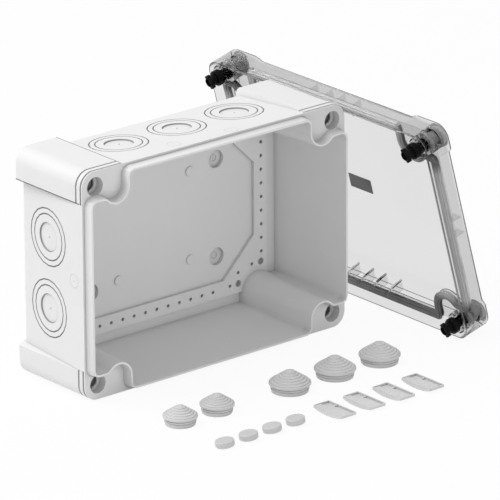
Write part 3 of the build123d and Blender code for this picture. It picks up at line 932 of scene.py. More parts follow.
@dataclass
class Housing:
    """Opaque housing with its bare mould marks, the skins that close its fixing holes, and painted shade and
    highlight lines in its knock-outs, on its steps, block edges and lip.
    """

    half_w: float = BOX_HALF_W
    half_h: float = BOX_HALF_H
    depth: float = BOX_DEPTH
    draft: float = 6.4
    block: Pair = (43.0, 26.3)
    step_run: float = 1.8
    step_front: float = 3.0
    step_rear: float = -6.5
    step_in: float = 0.20
    step_half: float = 0.22
    step_rise: float = 0.10
    edge_front: float = 4.0
    edge_rear: float = -1.5
    edge_half: float = 0.5
    edge_sink: float = 0.2
    edge_rise: float = 0.18
    mark_r: float = 5.9
    mark_line: float = 0.5
    mark_h: float = 0.15
    mark_dot_r: float = 0.7
    mark_sides: int = 48
    dot_sides: int = 16
    top_marks: Tuple[Pair, ...] = ((-34.3, -77.6), (24.0, -81.8))
    left_mark: Pair = (-76.5, 3.7)
    knock_y: float = -39.4
    knock_x: Tuple[float, ...] = (-62.7, 0.0, 62.7)
    knock_z: Tuple[float, ...] = (-31.55, 31.55)
    knock_rings: Tuple[float, ...] = (25.2, 20.2)
    knock_half: float = 0.55
    knock_top: float = -0.06
    knock_deep: float = -0.9
    knock_disc: float = 12.9
    knock_sink: float = 1.2
    knock_sides: int = 20
    disc_top: float = -0.05
    disc_lift: float = 0.02
    disc_insets: Tuple[float, ...] = (-0.05, 0.44, 0.80, 0.78, 0.2)
    disc_lip: float = 0.06
    nub_r: float = 0.9
    nub_h: float = 0.7
    nub_sides: int = 20
    hole: Pair = (69.0, 44.3)
    hole_r: float = 2.75
    well_y: float = -3.4
    skin_t: float = 0.8
    skin_gap: float = 0.01
    skin_edge: Pair = (0.3, 0.1)
    skin_sides: int = 32
    ring_gap: float = 0.35
    ring_size: float = 0.9
    ring_sides: int = 40
    bar_half: float = 0.35
    bar_rise: float = 0.4
    lip_h: float = 8.2
    lip_crest: float = 1.8
    lip_foot: float = 3.1
    lip_flat: float = 0.6
    lip_sink: float = 0.3
    foot_shade_line: Point = (0.2, 0.35, 0.12)
    crest_highlight_line: Pair = (0.32, 0.06)
    floor_y: float = -10.0
    post_r: float = 1.5
    post_gap: float = 0.28
    post_rise: float = 0.25
    post_sides: int = 12
    post_pitch: float = 12.46
    post_row: Tuple[float, int] = (75.0, 11)
    post_column: Tuple[float, int] = (116.8, 9)
    corner_posts: Tuple[Pair, ...] = ((81.3, 73.8), (90.6, 63.6), (106.0, 59.3))

    def __post_init__(self) -> None:
        """Make the finishes."""
        # Painted shade: the housing's lip, in front of its rim, is darkened more.
        lip_shade_y = -self.depth * MM
        self.body = MouldedPlastic("housing_plastic", grey(0.80), grey(0.77), lip_shade_y=lip_shade_y).material()
        # Painted shade: the mould marks and knock-out nubs are darker than the housing to show their fine
        # relief.
        self.mark_shade = MouldedPlastic("mark_shade_plastic", grey(0.62), grey(0.58)).material()
        # Painted shade: dark sheets in the knock-out grooves and along the upper left block's edges.
        self.shade = MouldedPlastic("painted_groove_shade", grey(0.13), grey(0.11), 0.6).material()
        # Painted shade: a dark ring against the wall of each sunk knock-out disc.
        self.disc_shade = MouldedPlastic("painted_disc_wall_shade", grey(0.30), grey(0.27), 0.6).material()
        # Painted shade: grey strips at the feet of the steps.
        self.pale = MouldedPlastic("painted_step_shade", grey(0.60), grey(0.57), 0.6).material()
        # Painted highlight: a pale strip on the lip's crest.
        self.crest_highlight = MouldedPlastic("painted_crest_highlight", grey(0.93), grey(0.90), 0.35).material()
        self.skin_finish = MouldedPlastic("skin_plastic", grey(0.76), grey(0.72)).material()
        # Painted shade: a grey strip at the lip's foot.
        self.foot_shade = MouldedPlastic("painted_lip_foot_shade", grey(0.50), grey(0.46), 0.6).material()
        self.slope = self.draft / self.depth

    def side(self, y: float, half: float) -> float:
        """Distance of a drafted panel from the middle at a depth."""
        return half - self.slope * (self.depth + y)

    def dress(self) -> None:
        """Give the housing its finish."""
        dress("housing", self.body)

    def mark(self, name: str, place: Matrix) -> None:
        """Set one round mould mark: a thin raised ring with a dot in its middle, in a darker grey that paints
        the shade of the fine relief.

        Args:
            name: Name of the piece.
            place: Its frame on the panel.
        """
        maker = MeshMaker()
        maker.turned(ridge(self.mark_r, self.mark_line, self.mark_h), self.mark_sides)
        maker.dome(self.mark_dot_r, self.mark_h * 2.0, self.dot_sides)
        maker.piece(name, place, [self.mark_shade], Body.BASE)

    def knockout(self, name: str, place: Matrix) -> None:
        """Paint shade as dark sheets into the grooves and onto the wall of the sunk disc of one knock-out,
        and set its centre nub.

        Args:
            name: Name of the piece.
            place: Its frame on the panel.
        """
        maker = MeshMaker()
        half, top = self.knock_half, self.knock_top
        # Painted shade: a dark sheet inside each groove.
        for radius in self.knock_rings:
            groove = [(radius + half, top), (radius - half, top), (radius, self.knock_deep)]
            maker.turned(groove, self.knock_sides)
        maker.piece(f"{name}_groove_shade", place, [self.shade], Body.BASE)
        # Painted shade: a dark ring lying on the wall of the sunk disc.
        edge, floor = self.knock_disc, -self.knock_sink + self.disc_lift
        levels = (self.disc_top, floor, floor, floor + self.disc_lip, self.disc_top)
        wall = [(edge - inset, level) for inset, level in zip(self.disc_insets, levels)]
        step = MeshMaker()
        step.turned(wall, self.knock_sides)
        step.piece(f"{name}_disc_wall_shade", place, [self.disc_shade], Body.BASE)
        # The nub takes the darker mark grey, painted shade of its small relief.
        nub = MeshMaker()
        nub.dome(self.nub_r, self.nub_h, self.nub_sides)
        sunk = place @ Matrix.Translation((0.0, 0.0, -self.knock_sink))
        nub.piece(f"{name}_nub", sunk, [self.mark_shade], Body.BASE)

    def step_shade_lines(self) -> None:
        """Paint shade lines at the feet of the steps between the corner blocks and the drafted panels."""
        maker = MeshMaker()
        long_span = (self.half_h, self.half_w - self.block[0], X_AXIS, Z_AXIS)
        short_span = (self.half_w, self.half_h - self.block[1], Z_AXIS, X_AXIS)
        for reach, half_span, across, outward in (long_span, short_span):
            for side in (-1.0, 1.0):
                for end in (-1.0, 1.0):
                    ends = []
                    for y in (-self.depth + self.step_front, self.step_rear):
                        drop = self.slope * (self.depth + y)
                        along = end * (half_span - self.step_run * drop / self.draft - self.step_in)
                        out = side * (reach - drop)
                        x, z = (along * across[i] + out * outward[i] for i in (0, 2))
                        ends.append((x, y, z))
                    rise = tuple(side * part for part in outward)
                    maker.strip(ends[0], ends[1], self.step_half, self.step_rise, across, rise)
        maker.piece("step_shade_lines", BOX_FRAME, [self.pale], Body.BASE)

    def edge_shade_lines(self) -> None:
        """Paint shade lines along the upper left corner block's edges towards the panels beside it."""
        maker = MeshMaker()
        front, rear, half = -self.depth + self.edge_front, self.edge_rear, self.edge_half
        x, z = -(self.half_w - self.block[0]) + half, self.half_h - self.block[1] - half
        top, left = self.half_h - self.edge_sink, -self.half_w + self.edge_sink
        # Painted shade: dark strips along the block's two edges.
        maker.strip((x, front, top), (x, rear, top), half, self.edge_rise, X_AXIS, Z_AXIS)
        maker.strip((left, front, z), (left, rear, z), half, self.edge_rise, Z_AXIS, (-1.0, 0.0, 0.0))
        maker.piece("edge_shade_lines", BOX_FRAME, [self.shade], Body.BASE)

    def lip_shade_and_highlight_lines(self) -> None:
        """Paint a shade line at the foot of the sealing lip on the shoulder and a highlight line on its
        crest.
        """
        path = OpeningPath()
        gap, foot_half, foot_rise = self.foot_shade_line
        crest_half, crest_rise = self.crest_highlight_line
        foot_y, crest_y = -self.depth, -self.depth - self.lip_h
        # The foot strip is painted shade, the crest strip a painted highlight.
        for name, grow, half, level, rise, finish in (
            ("lip_foot_shade_line", -self.lip_foot - gap, foot_half, foot_y, foot_rise, self.foot_shade),
            ("lip_crest_highlight_line", -self.lip_crest / 2.0, crest_half, crest_y, crest_rise, self.crest_highlight),
        ):
            flat = half * self.lip_flat
            section = [(grow - half, level), (grow - flat, level - rise), (grow + flat, level - rise)]
            section += [(grow + half, level), (grow, level + self.lip_sink)]
            maker = MeshMaker()
            maker.loops([[(x, y, z) for x, z in path.points(g)] for g, y in section], True)
            maker.piece(name, BOX_FRAME, [finish], Body.BASE)

    def skin(self, name: str, x: float, z: float) -> None:
        """Close one fixing hole with a thin skin that carries a small raised ring.

        Args:
            name: Name of the piece.
            x: Place across the box.
            z: Height of the place.
        """
        maker = MeshMaker()
        edge, size = self.hole_r - self.skin_gap, self.ring_size
        inward, down = self.skin_edge
        outline = ((edge, -self.skin_t), (edge, -down), (edge - inward, 0.0))
        maker.loops([circle(radius, level, self.skin_sides) for radius, level in outline], False)
        maker.turned(ridge(self.hole_r + self.ring_gap, size, size), self.ring_sides)
        maker.strip((-size, 0.0, 0.0), (size, 0.0, 0.0), self.bar_half, self.bar_rise, Y_AXIS, Z_AXIS)
        place = stand((x, self.well_y, z), (0.0, -1.0, 0.0))
        maker.piece(name, place, [self.skin_finish], Body.BASE)

    def post_places(self) -> List[Pair]:
        """Places of the screw posts in the raised floor."""
        places = []
        row_z, row_count = self.post_row
        column_x, column_count = self.post_column
        for sign in (-1.0, 1.0):
            for index in range(row_count):
                places.append(((index - (row_count - 1) / 2.0) * self.post_pitch, sign * row_z))
            for index in range(column_count):
                places.append((sign * column_x, (index - (column_count - 1) / 2.0) * self.post_pitch))
            for other in (-1.0, 1.0):
                places.extend((sign * x, other * z) for x, z in self.corner_posts)
        return places

    def post_rims(self) -> None:
        """Set the low rims round the screw posts."""
        maker = MeshMaker()
        section = ridge(self.post_r + self.post_gap, 2.0 * self.post_gap, self.post_rise)
        ring = [(r, self.floor_y - h) for r, h in section]
        for x, z in self.post_places():
            rings = []
            for step in range(self.post_sides):
                angle = FULL_TURN * step / self.post_sides
                rings.append([(x + r * math.cos(angle), h, z + r * math.sin(angle)) for r, h in ring])
            maker.loops(rings, True)
        maker.piece("post_rims", BOX_FRAME, [self.body], Body.BASE)

    def build(self) -> None:
        """Set the marks, the painted shade in the knock-outs, the painted shade lines on the steps, block
        edges and lip foot, the painted highlight on the lip crest, the skins and the post rims.
        """
        for number, (x, y) in enumerate(self.top_marks, 1):
            place = stand((x, y, self.side(y, self.half_h)), (0.0, self.slope, 1.0))
            self.mark(f"mould_mark_top_{number}", place)
        y, z = self.left_mark
        place = stand((-self.side(y, self.half_w), y, z), (-1.0, self.slope, 0.0), Z_AXIS)
        self.mark("mould_mark_left", place)
        y = self.knock_y
        top, left = self.side(y, self.half_h), self.side(y, self.half_w)
        for sign, label in ((1.0, "top"), (-1.0, "bottom")):
            for number, x in enumerate(self.knock_x, 1):
                place = stand((x, y, sign * top), (0.0, self.slope, sign))
                self.knockout(f"knockout_{label}_{number}", place)
        for sign, label in ((-1.0, "left"), (1.0, "right")):
            for number, z in enumerate(self.knock_z, 1):
                place = stand((sign * left, y, z), (sign, self.slope, 0.0), Z_AXIS)
                self.knockout(f"knockout_{label}_{number}", place)
        self.step_shade_lines()
        self.edge_shade_lines()
        self.lip_shade_and_highlight_lines()
        signs = [(sx, sz) for sx in (-1.0, 1.0) for sz in (-1.0, 1.0)]
        for number, (sx, sz) in enumerate(signs, 1):
            self.skin(f"fixing_skin_{number}", sx * self.hole[0], sz * self.hole[1])
        self.post_rims()


def arc(centre: Pair, radius: float, start: float, end: float, steps: int) -> List[Pair]:
    """Points on an arc between two angles.

    Args:
        centre: Its middle.
        radius: Its radius.
        start: First angle in radians.
        end: Last angle in radians.
        steps: Number of steps between them.

    Returns:
        The points, both ends included.
    """
    angles = [start + (end - start) * i / steps for i in range(steps + 1)]
    return [(centre[0] + radius * math.cos(a), centre[1] + radius * math.sin(a)) for a in angles]


@dataclass
class OpeningPath:
    """Outline of the opening, which swings round the screw corners; lip, ribs and seal follow it."""

    half_w: float = BOX_HALF_W
    half_h: float = BOX_HALF_H
    inset: float = 5.2
    corner_r: float = 4.0
    lobe_w: float = 44.7
    lobe_h: float = 30.7
    lobe_side_h: float = 24.7
    lobe_r: float = 14.0
    blend_r: float = 5.0
    least_r: float = 0.4
    bend_steps: int = 4
    lobe_steps: int = 14

    def quarter(self, grow: float) -> List[Pair]:
        """Points of the upper right quarter, made smaller by grow.

        Args:
            grow: Distance into the opening.

        Returns:
            The points from the side wall round the lobe to the top wall.
        """
        half_x, half_z = self.half_w - self.inset - grow, self.half_h - self.inset - grow
        side_z = self.half_h - self.lobe_side_h - grow
        lobe = (self.half_w - self.lobe_w + self.lobe_r, self.half_h - self.lobe_h + self.lobe_r)
        lobe_r = self.lobe_r + grow
        corner = max(self.corner_r - grow, self.least_r)
        blend = max(self.blend_r - grow, self.least_r)
        drop = lobe[1] - side_z + blend
        middle = (lobe[0] + math.sqrt((lobe_r + blend) ** 2 - drop**2), side_z - blend)
        meet = math.atan2(middle[1] - lobe[1], middle[0] - lobe[0])
        last = (lobe[0] - lobe_r - corner, half_z - corner)
        points = arc((half_x - corner, side_z - corner), corner, 0.0, QUARTER_TURN, self.bend_steps)
        points += arc(middle, blend, QUARTER_TURN, meet + math.pi, self.bend_steps)
        points += arc(lobe, lobe_r, meet, -math.pi, self.lobe_steps)[1:]
        points += arc(last, corner, 0.0, QUARTER_TURN, self.bend_steps)
        return points

    def points(self, grow: float) -> List[Pair]:
        """Points of the whole outline.

        Args:
            grow: Distance into the opening.

        Returns:
            The points.
        """
        return mirrored(self.quarter(grow))


@dataclass
class ClearLid:
    """Clear lid with its seal, its screws and the dark field in its pane."""

    lean_deg: float = 15.1
    foot: Point = (193.9605, -50.0, FLOOR_Z)
    half_w: float = BOX_HALF_W
    half_h: float = BOX_HALF_H
    rib_top: float = -9.45
    rib_gap: float = 0.45
    lips_in: float = 4.4
    lips_out: float = -2.8
    lip_half: float = 0.42
    lip_rise: float = 0.4
    lip_flat: float = 0.6
    lips: Tuple[Pair, ...] = ((3.7, -9.0), (2.2, -7.75), (0.8, -7.75), (-0.6, -7.75), (-2.1, -9.0))
    gusset_x: Tuple[float, ...] = (23.0, 3.5, -13.0, -33.0)
    bar_t: float = 1.7
    bar_trim: float = 0.25
    bar_low: Pair = (-3.5, 11.6)
    bar_high: Pair = (-24.45, 16.2)
    bar_deep: float = 1.6
    bar_taper: float = 0.5
    screw_x: float = 128.6
    screw_z: float = 87.0
    block: Pair = (36.5, 22.8)
    drop: float = 3.2
    step_runs: Pair = (7.0, 3.3)
    pane_edge_y: float = -26.4
    pane_edge_in: float = 0.90
    rim_edge_in: float = 0.02
    shelf_in: float = 4.3
    shelf_y: float = -14.5
    line_half: float = 0.22
    corner_r: float = 13.0
    corner_steps: int = 8
    tube_in: float = 9.7
    tube_out: float = 10.4
    frost_from: float = 9.0
    ring_low: float = 7.1
    ring_high: float = 7.9
    ring_in: float = 4.5
    ring_out: float = 5.2
    ring_steps: int = 8
    ring_sides: int = 40
    pane_inner: float = -24.5
    field_x: Pair = (-21.0, 8.2)
    field_z: Pair = (-2.1, 11.5)
    field_corner: float = 0.8
    field_levels: Point = (-0.02, 0.12, 0.2)
    field_bevel: float = 0.15

    def frame(self) -> Matrix:
        """Frame of the lid: X along it, Y into the housing, Z up its face, in millimetres."""
        turn = Matrix.Rotation(math.radians(-self.lean_deg), 4, "Y") @ Matrix.Rotation(QUARTER_TURN, 4, "Z")
        rise = Matrix.Translation((0.0, 0.0, self.half_h * MM))
        return Matrix.Translation(Vector(self.foot) * MM) @ turn @ rise @ BOX_FRAME

    def facing(self, x: float, y: float, z: float) -> Matrix:
        """Frame at a place of the lid whose local Z looks out of its open side.

        Args:
            x: Place along the lid.
            y: Depth of the place.
            z: Height of the place up the face.

        Returns:
            The frame.
        """
        return self.frame() @ Matrix.Translation((x, y, z)) @ Matrix.Rotation(-QUARTER_TURN, 4, "X")

    def dress(self) -> None:
        """Give the lid, its seal and its screws their finishes."""
        foot = tuple(level * MM for level in self.foot)
        screw = (self.half_h, self.screw_x, self.screw_z)
        walls = (self.tube_in, self.tube_out, self.frost_from)
        tubes = TubePlaces(foot, self.lean_deg, *(size * MM for size in screw + walls))
        self.clear = ClearPlastic("clear_plastic", (0.42, 0.43, 0.43), density=40.0, tubes=tubes).material()
        dress("lid", self.clear)
        places = (foot[1], foot[2], self.lean_deg)
        self.foam = SealFoam("seal_foam", grey(0.18), grey(0.62), *places).material()
        # Painted highlight: a paler foam on the flat tops of the seal's lips.
        self.lip_highlight = SealFoam("seal_lip_highlight", grey(0.44), grey(0.66), *places).material()
        dress("lid_seal", self.foam)
        self.black = GlossBlack("screw_plastic", (0.004, 0.004, 0.0042)).material()
        for number, _ in enumerate(CORNERS, 1):
            dress(f"lid_screw_{number}", self.black)

    def seal_lips(self) -> None:
        """Sweep the lipped face of the seal round the opening, over the ribs that hold it; the tops of its
        lips carry a painted highlight.
        """
        path = OpeningPath()
        top = self.rib_top + self.rib_gap
        section = [(self.lips_in, self.rib_top), (self.lips_in, top)]
        slots = [0, 0]
        for grow, level in self.lips:
            for share, rise in ((1.0, 0.0), (self.lip_flat, 1.0), (-self.lip_flat, 1.0), (-1.0, 0.0)):
                section.append((grow + share * self.lip_half, level + rise * self.lip_rise))
                # Slot 1 puts the painted highlight on the flat top of each lip.
                slots.append(1 if share == self.lip_flat else 0)
        section += [(self.lips_out, top), (self.lips_out, self.rib_top)]
        slots += [0, 0]
        rings = [[(x, y, z) for x, z in path.points(grow)] for grow, y in section]
        maker = MeshMaker()
        maker.loops(rings, True, slots)
        maker.piece("seal_lips", self.frame(), [self.foam, self.lip_highlight], Body.COVER, smooth_deg=30.0)

    def pane_outline(self, inset: float) -> List[Pair]:
        """Outline of the pane with its corner blocks and the sunk panels between them.

        Args:
            inset: Distance inside the real edge.

        Returns:
            The points.
        """
        wide, high, radius = self.half_w - inset, self.half_h - inset, self.corner_r - inset
        block_x, block_z = self.half_w - self.block[0], self.half_h - self.block[1]
        quarter = [(wide - self.drop, block_z - self.step_runs[1]), (wide, block_z)]
        quarter += arc((wide - radius, high - radius), radius, 0.0, QUARTER_TURN, self.corner_steps)
        quarter += [(block_x, high), (block_x - self.step_runs[0], high - self.drop)]
        return mirrored(quarter)

    def edge_shade_lines(self) -> None:
        """Paint dark lines on the edges of the lid, painted shade where the clear plastic's edges look dark:
        its rim, its pane and the shelf's inner edge.
        """
        path = OpeningPath()
        # Painted shade: dark grey strips along the clear plastic's edges.
        finish = MouldedPlastic("painted_edge_shade", grey(0.16), grey(0.14), 0.4).material()
        half = self.line_half
        shelf, rim, pane = [], [], []
        for a, b in ((-half, -half), (half, -half), (half, half), (-half, half)):
            shelf.append([(x, self.shelf_y + b, z) for x, z in path.points(self.shelf_in + a)])
            inset = half + a + self.rim_edge_in
            wide, high = 2.0 * (self.half_w - inset), 2.0 * (self.half_h - inset)
            rim.append([(x, b - half, z) for x, z, _ in rounded(wide, high, self.corner_r - inset, 0.0)])
            pane.append([(x, self.pane_edge_y + b, z) for x, z in self.pane_outline(self.pane_edge_in + a)])
        for name, rings in (("shelf_edge_shade", shelf), ("rim_edge_shade", rim), ("pane_edge_shade", pane)):
            maker = MeshMaker()
            maker.loops(rings, True)
            maker.piece(name, self.frame(), [finish], Body.COVER)

    def gusset_bars(self) -> None:
        """Set the free edges of the four gussets at the foot of the lid."""
        maker = MeshMaker()
        half = self.bar_t / 2.0
        low_y, low_z = self.bar_low
        high_y, high_z = self.bar_high
        deep, cut = self.bar_deep, self.bar_trim
        for x in self.gusset_x:
            rings = []
            for side, trim in ((-half, cut), (-half + cut, 0.0), (half - cut, 0.0), (half, cut)):
                rings.append(
                    [
                        (x + side, low_y - trim, low_z - self.half_h - trim),
                        (x + side, high_y, high_z - self.half_h - trim),
                        (x + side, high_y, high_z - self.half_h - deep),
                        (x + side, low_y - trim, low_z - self.half_h - deep * self.bar_taper),
                    ]
                )
            maker.loops(rings, False)
        maker.piece("gusset_edges", self.frame(), [self.clear], Body.COVER, smooth_deg=30.0)

    def screw_rings(self) -> None:
        """Set the thin retaining ring on the core of each screw."""
        mid, half = (self.ring_in + self.ring_out) / 2.0, (self.ring_out - self.ring_in) / 2.0
        level, rise = (self.ring_low + self.ring_high) / 2.0, (self.ring_high - self.ring_low) / 2.0
        turns = [FULL_TURN * step / self.ring_steps for step in range(self.ring_steps)]
        section = [(mid + half * math.cos(turn), rise * math.sin(turn)) for turn in turns]
        bodies = (Body.SCREW_1, Body.SCREW_2, Body.SCREW_3, Body.SCREW_4)
        for number, (body, (sx, sz)) in enumerate(zip(bodies, CORNERS), 1):
            maker = MeshMaker()
            maker.turned(section, self.ring_sides)
            place = self.facing(sx * self.screw_x, level, sz * self.screw_z)
            maker.piece(f"screw_ring_{number}", place, [self.black], body)

    def dark_field(self) -> None:
        """Set the bare dark field on the inner face of the pane."""
        finish = MouldedPlastic("field_grey", grey(0.145), grey(0.13), 0.5).material()
        width, height = self.field_x[1] - self.field_x[0], self.field_z[1] - self.field_z[0]
        foot, edge, top = self.field_levels
        corner, bevel = self.field_corner, self.field_bevel
        walls = [rounded(width, height, corner, level) for level in (foot, edge)]
        crown = rounded(width - 2.0 * bevel, height - 2.0 * bevel, corner - bevel, top)
        maker = MeshMaker()
        maker.loops([*walls, crown], False)
        middle = self.facing(sum(self.field_x) / 2.0, self.pane_inner, sum(self.field_z) / 2.0)
        maker.piece("pane_field", middle, [finish], Body.COVER)

    def build(self) -> None:
        """Set the lips, the painted shade lines on the edges, the gussets' edges, the rings and the dark
        field.
        """
        self.seal_lips()
        self.edge_shade_lines()
        self.gusset_bars()
        self.screw_rings()
        self.dark_field()


@dataclass(frozen=True)
class PlugSeal:
    """Sizes of one kind of plug-in cable seal."""

    flange_r: float
    collar_r: float
    top: float
    steps: int
    hollow_r: float
    places: Tuple[Pair, ...]
    collar_h: float = 3.2
    groove_h: float = 0.8
    band_h: float = 1.1
    groove_deep: float = 0.6
    flange_z: float = 6.2
    flange_h: float = 2.2
    nose_r: float = 2.5
    nose_h: float = 0.8
    skin: float = 1.6
    taper: float = 0.7
    edge: float = 0.3
    hollow_tops: Pair = (0.6, 1.0)
    flange_bevel: Tuple[Pair, ...] = ((0.0, 0.6), (0.25, 0.15), (0.8, 0.0))
    cone_in: float = 1.3
    tread_shape: Tuple[Pair, ...] = ((0.0, 0.0), (0.10, 0.50), (0.40, 0.72))
    tread_lip: float = 0.05
    nose_shares: Tuple[float, ...] = (0.35, 0.65, 0.9)

    def profile(self) -> List[Pair]:
        """Closed outline of radius and height, from the hollow round the foot to the nose.

        Returns:
            The outline.
        """
        groove_r = self.collar_r - self.groove_deep
        band_z = self.collar_h + self.groove_h
        band_top = band_z + self.band_h
        cone_z = self.flange_z + self.flange_h
        crown = self.top - self.skin
        middle_drop, rim_drop = self.hollow_tops
        outline = [
            (0.0, crown - middle_drop),
            (self.nose_r, crown - rim_drop),
            (self.hollow_r, cone_z - self.skin),
            (self.hollow_r, 0.0),
            (self.collar_r - self.taper, 0.0),
            (self.collar_r, self.collar_h - self.edge),
            (self.collar_r - self.edge, self.collar_h),
            (groove_r, self.collar_h),
            (groove_r, band_z),
            (self.collar_r, band_z),
            (self.collar_r, band_top),
            (groove_r, band_top),
            (groove_r, self.flange_z),
            (self.flange_r - self.edge, self.flange_z),
            (self.flange_r, self.flange_z + self.edge),
        ]
        outline += [(self.flange_r - inset, cone_z - drop) for inset, drop in self.flange_bevel]
        cone_r = self.flange_r - self.cone_in
        tread = (cone_r - self.nose_r) / self.steps
        rise = (self.top - self.nose_h - cone_z) / self.steps
        for step in range(self.steps):
            radius, level = cone_r - tread * step, cone_z + rise * step
            outline += [(radius - inset, level + rise * share) for inset, share in self.tread_shape]
            outline.append((radius - tread + self.tread_lip, level + rise))
        outline.append((self.nose_r, self.top - self.nose_h))
        for share in self.nose_shares:
            radius = self.nose_r * math.sqrt(1.0 - share * share)
            outline.append((radius, self.top - self.nose_h * (1.0 - share)))
        outline.append((0.0, self.top))
        return outline


@dataclass
class LooseParts:
    """Plug-in seals, plugs and cover caps on the floor."""

    floor_z: float = FLOOR_Z
    small: PlugSeal = PlugSeal(
        flange_r=14.7,
        collar_r=13.4,
        top=16.5,
        steps=5,
        hollow_r=10.6,
        places=((-111.8, -177.3), (-71.9, -176.8)),
    )
    large: PlugSeal = PlugSeal(
        flange_r=17.9,
        collar_r=16.4,
        top=18.7,
        steps=6,
        hollow_r=13.2,
        places=((5.1, -179.2), (55.4, -178.6), (105.3, -178.4)),
    )
    seal_sides: int = 72
    satin: float = 0.38
    plugs: int = 4
    caps: int = 4

    def seals(self, kind: PlugSeal, label: str, finish: bpy.types.Material) -> None:
        """Turn the seals of one kind, which stand for their faceted CAD nodes.

        Args:
            kind: Their sizes.
            label: Name of the kind.
            finish: Their material.
        """
        for number, (x, y) in enumerate(kind.places, 1):
            node = f"plug_seal_{label}_{number}"
            dress(node, finish)
            maker = MeshMaker()
            maker.turned(kind.profile(), self.seal_sides)
            place = stand((x, y, self.floor_z), Z_AXIS)
            made = maker.piece(f"cable_{node}", place, [finish], Body.BASE, smooth_deg=28.0)
            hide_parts(node)

    def dress(self) -> None:
        """Give the loose parts their finishes and turn the seals."""
        seal = SoftRubber("grey_rubber", grey(0.62), grey(0.68)).material()
        dull = self.satin
        # Caps and plugs darken to these greys in their creases: painted shade.
        cap = MouldedPlastic("cap_plastic", grey(0.70), grey(0.66), dull, crease_shade_colour=grey(0.35)).material()
        plug = MouldedPlastic("plug_plastic", grey(0.62), grey(0.58), dull, crease_shade_colour=grey(0.32))
        plug_finish = plug.material()
        self.seals(self.small, "small", seal)
        self.seals(self.large, "large", seal)
        for number in range(1, self.plugs + 1):
            dress(f"hole_plug_{number}", plug_finish)
        for number in range(1, self.caps + 1):
            dress(f"cover_cap_{number}", cap)


@dataclass(frozen=True)
class SoftLamp:
    """Square area lamp that looks at the object."""

    name: str
    place: Point
    size: float
    power: float
    aim: Point = (0.0, -0.05, 0.0)

    def build(self) -> None:
        """Hang the lamp."""
        data = bpy.data.lights.new(self.name, "AREA")
        data.shape = "SQUARE"
        data.size = self.size
        data.energy = self.power
        made = bpy.data.objects.new(self.name, data)
        made.location = self.place
        look = (Vector(self.aim) - Vector(self.place)).to_track_quat("-Z", "Y")
        made.rotation_euler = look.to_euler()
        bpy.context.scene.collection.objects.link(made)


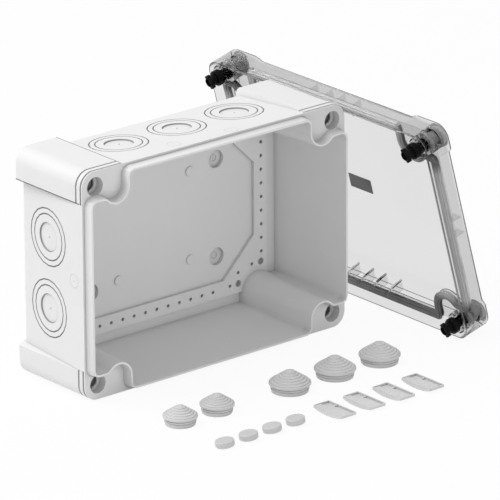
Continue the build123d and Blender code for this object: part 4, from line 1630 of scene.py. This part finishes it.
@dataclass
class Studio:
    """Plain pale floor and soft light."""

    floor_z: float = FLOOR_Z
    floor_reach: float = 30.0
    floor_glow: float = 0.93
    floor_greys: Pair = (0.87, 0.85)
    speck_scale: float = 900.0
    world_level: float = 0.53
    key: SoftLamp = SoftLamp("soft_key", (-1.7, 1.1, 2.9), 2.4, 88.0)
    fill: SoftLamp = SoftLamp("front_fill", (-0.4, -3.5, 0.5), 1.2, 14.0)

    @staticmethod
    def seen(graph: Graph, path: bpy.types.Node) -> Socket:
        """Whether a ray shows the background straight, through clear plastic or in a gloss.

        Args:
            graph: Graph that the path node is in.
            path: Light Path node.

        Returns:
            1 for such a ray, otherwise 0.
        """
        kinds = ("Is Camera Ray", "Is Transmission Ray", "Is Glossy Ray")
        camera, through, gloss = (Socket(graph, path.outputs[kind]) for kind in kinds)
        return graph.value("ShaderNodeClamp", {}, {"Value": camera + through + gloss})

    def floor(self) -> None:
        """Lay the floor."""
        z = self.floor_z * MM
        reach = self.floor_reach
        mesh = bpy.data.meshes.new("studio_floor")
        mesh.from_pydata([(sx * reach, sy * reach, z) for sx, sy in CORNERS], [], [(0, 1, 2, 3)])
        made, graph = new_material("studio_floor")
        speck = graph.noise(self.speck_scale, 2.0)
        pale = graph.mix(speck, *(grey(level) for level in self.floor_greys))
        matt = graph.principled({"Base Color": pale, "Roughness": 0.8, "Specular IOR Level": 0.0})
        glow = graph.value("ShaderNodeEmission", {}, {"Color": WHITE, "Strength": 1.0})
        seen = self.seen(graph, graph.node("ShaderNodeLightPath"))
        graph.close(graph.blend(seen * self.floor_glow, matt, glow))
        mesh.materials.append(made)
        floor = bpy.data.objects.new("studio_floor", mesh)
        bpy.context.scene.collection.objects.link(floor)

    def world(self) -> None:
        """Light the surroundings evenly, and show them white behind the object."""
        world = bpy.data.worlds.new("studio_world")
        bpy.context.scene.world = world
        world.use_nodes = True
        graph = Graph(world.node_tree)
        seen = self.seen(graph, graph.node("ShaderNodeLightPath"))
        even = graph.value("ShaderNodeBackground", {}, {"Color": WHITE, "Strength": self.world_level})
        white = graph.value("ShaderNodeBackground", {}, {"Color": WHITE, "Strength": 1.0})
        mixed = graph.blend(seen, even, white)
        graph.node("ShaderNodeOutputWorld", {}, {"Surface": mixed})

    def build(self) -> None:
        """Build the floor, the world and the lamps."""
        self.floor()
        self.world()
        self.key.build()
        self.fill.build()
        LOG.info("studio built")


@dataclass
class PhotoCamera:
    """Camera at the photograph's angle, fitted to the edges of the box and the lid."""

    place: Point = (-3091.83, -3833.28, 1772.94)
    target: Point = (74.760, -45.0, -29.386)
    roll_deg: float = -0.347
    lens: float = 443.07
    sensor: float = 36.0
    clip_end: float = 100.0

    def build(self) -> bpy.types.Object:
        """Make the camera and let the scene use it.

        Returns:
            The camera.
        """
        data = bpy.data.cameras.new("photo_camera")
        data.sensor_width = self.sensor
        data.lens = self.lens
        data.clip_end = self.clip_end
        made = bpy.data.objects.new("photo_camera", data)
        bpy.context.scene.collection.objects.link(made)
        place, target = Vector(self.place) * MM, Vector(self.target) * MM
        look = (target - place).to_track_quat("-Z", "Y").to_matrix().to_4x4()
        turn = Matrix.Rotation(math.radians(self.roll_deg), 4, "Z")
        made.matrix_world = Matrix.Translation(place) @ look @ turn
        bpy.context.scene.camera = made
        LOG.info("camera at %s", tuple(place))
        return made


def main() -> None:
    """Build the classes in order and report each piece."""
    logging.basicConfig(level=logging.INFO, format="%(message)s")
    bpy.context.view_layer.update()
    bpy.context.scene.view_settings.view_transform = "Standard"
    housing = Housing()
    housing.dress()
    housing.build()
    lid = ClearLid()
    lid.dress()
    lid.build()
    LooseParts().dress()
    Studio().build()
    PhotoCamera().build()


if __name__ == "__main__":
    main()
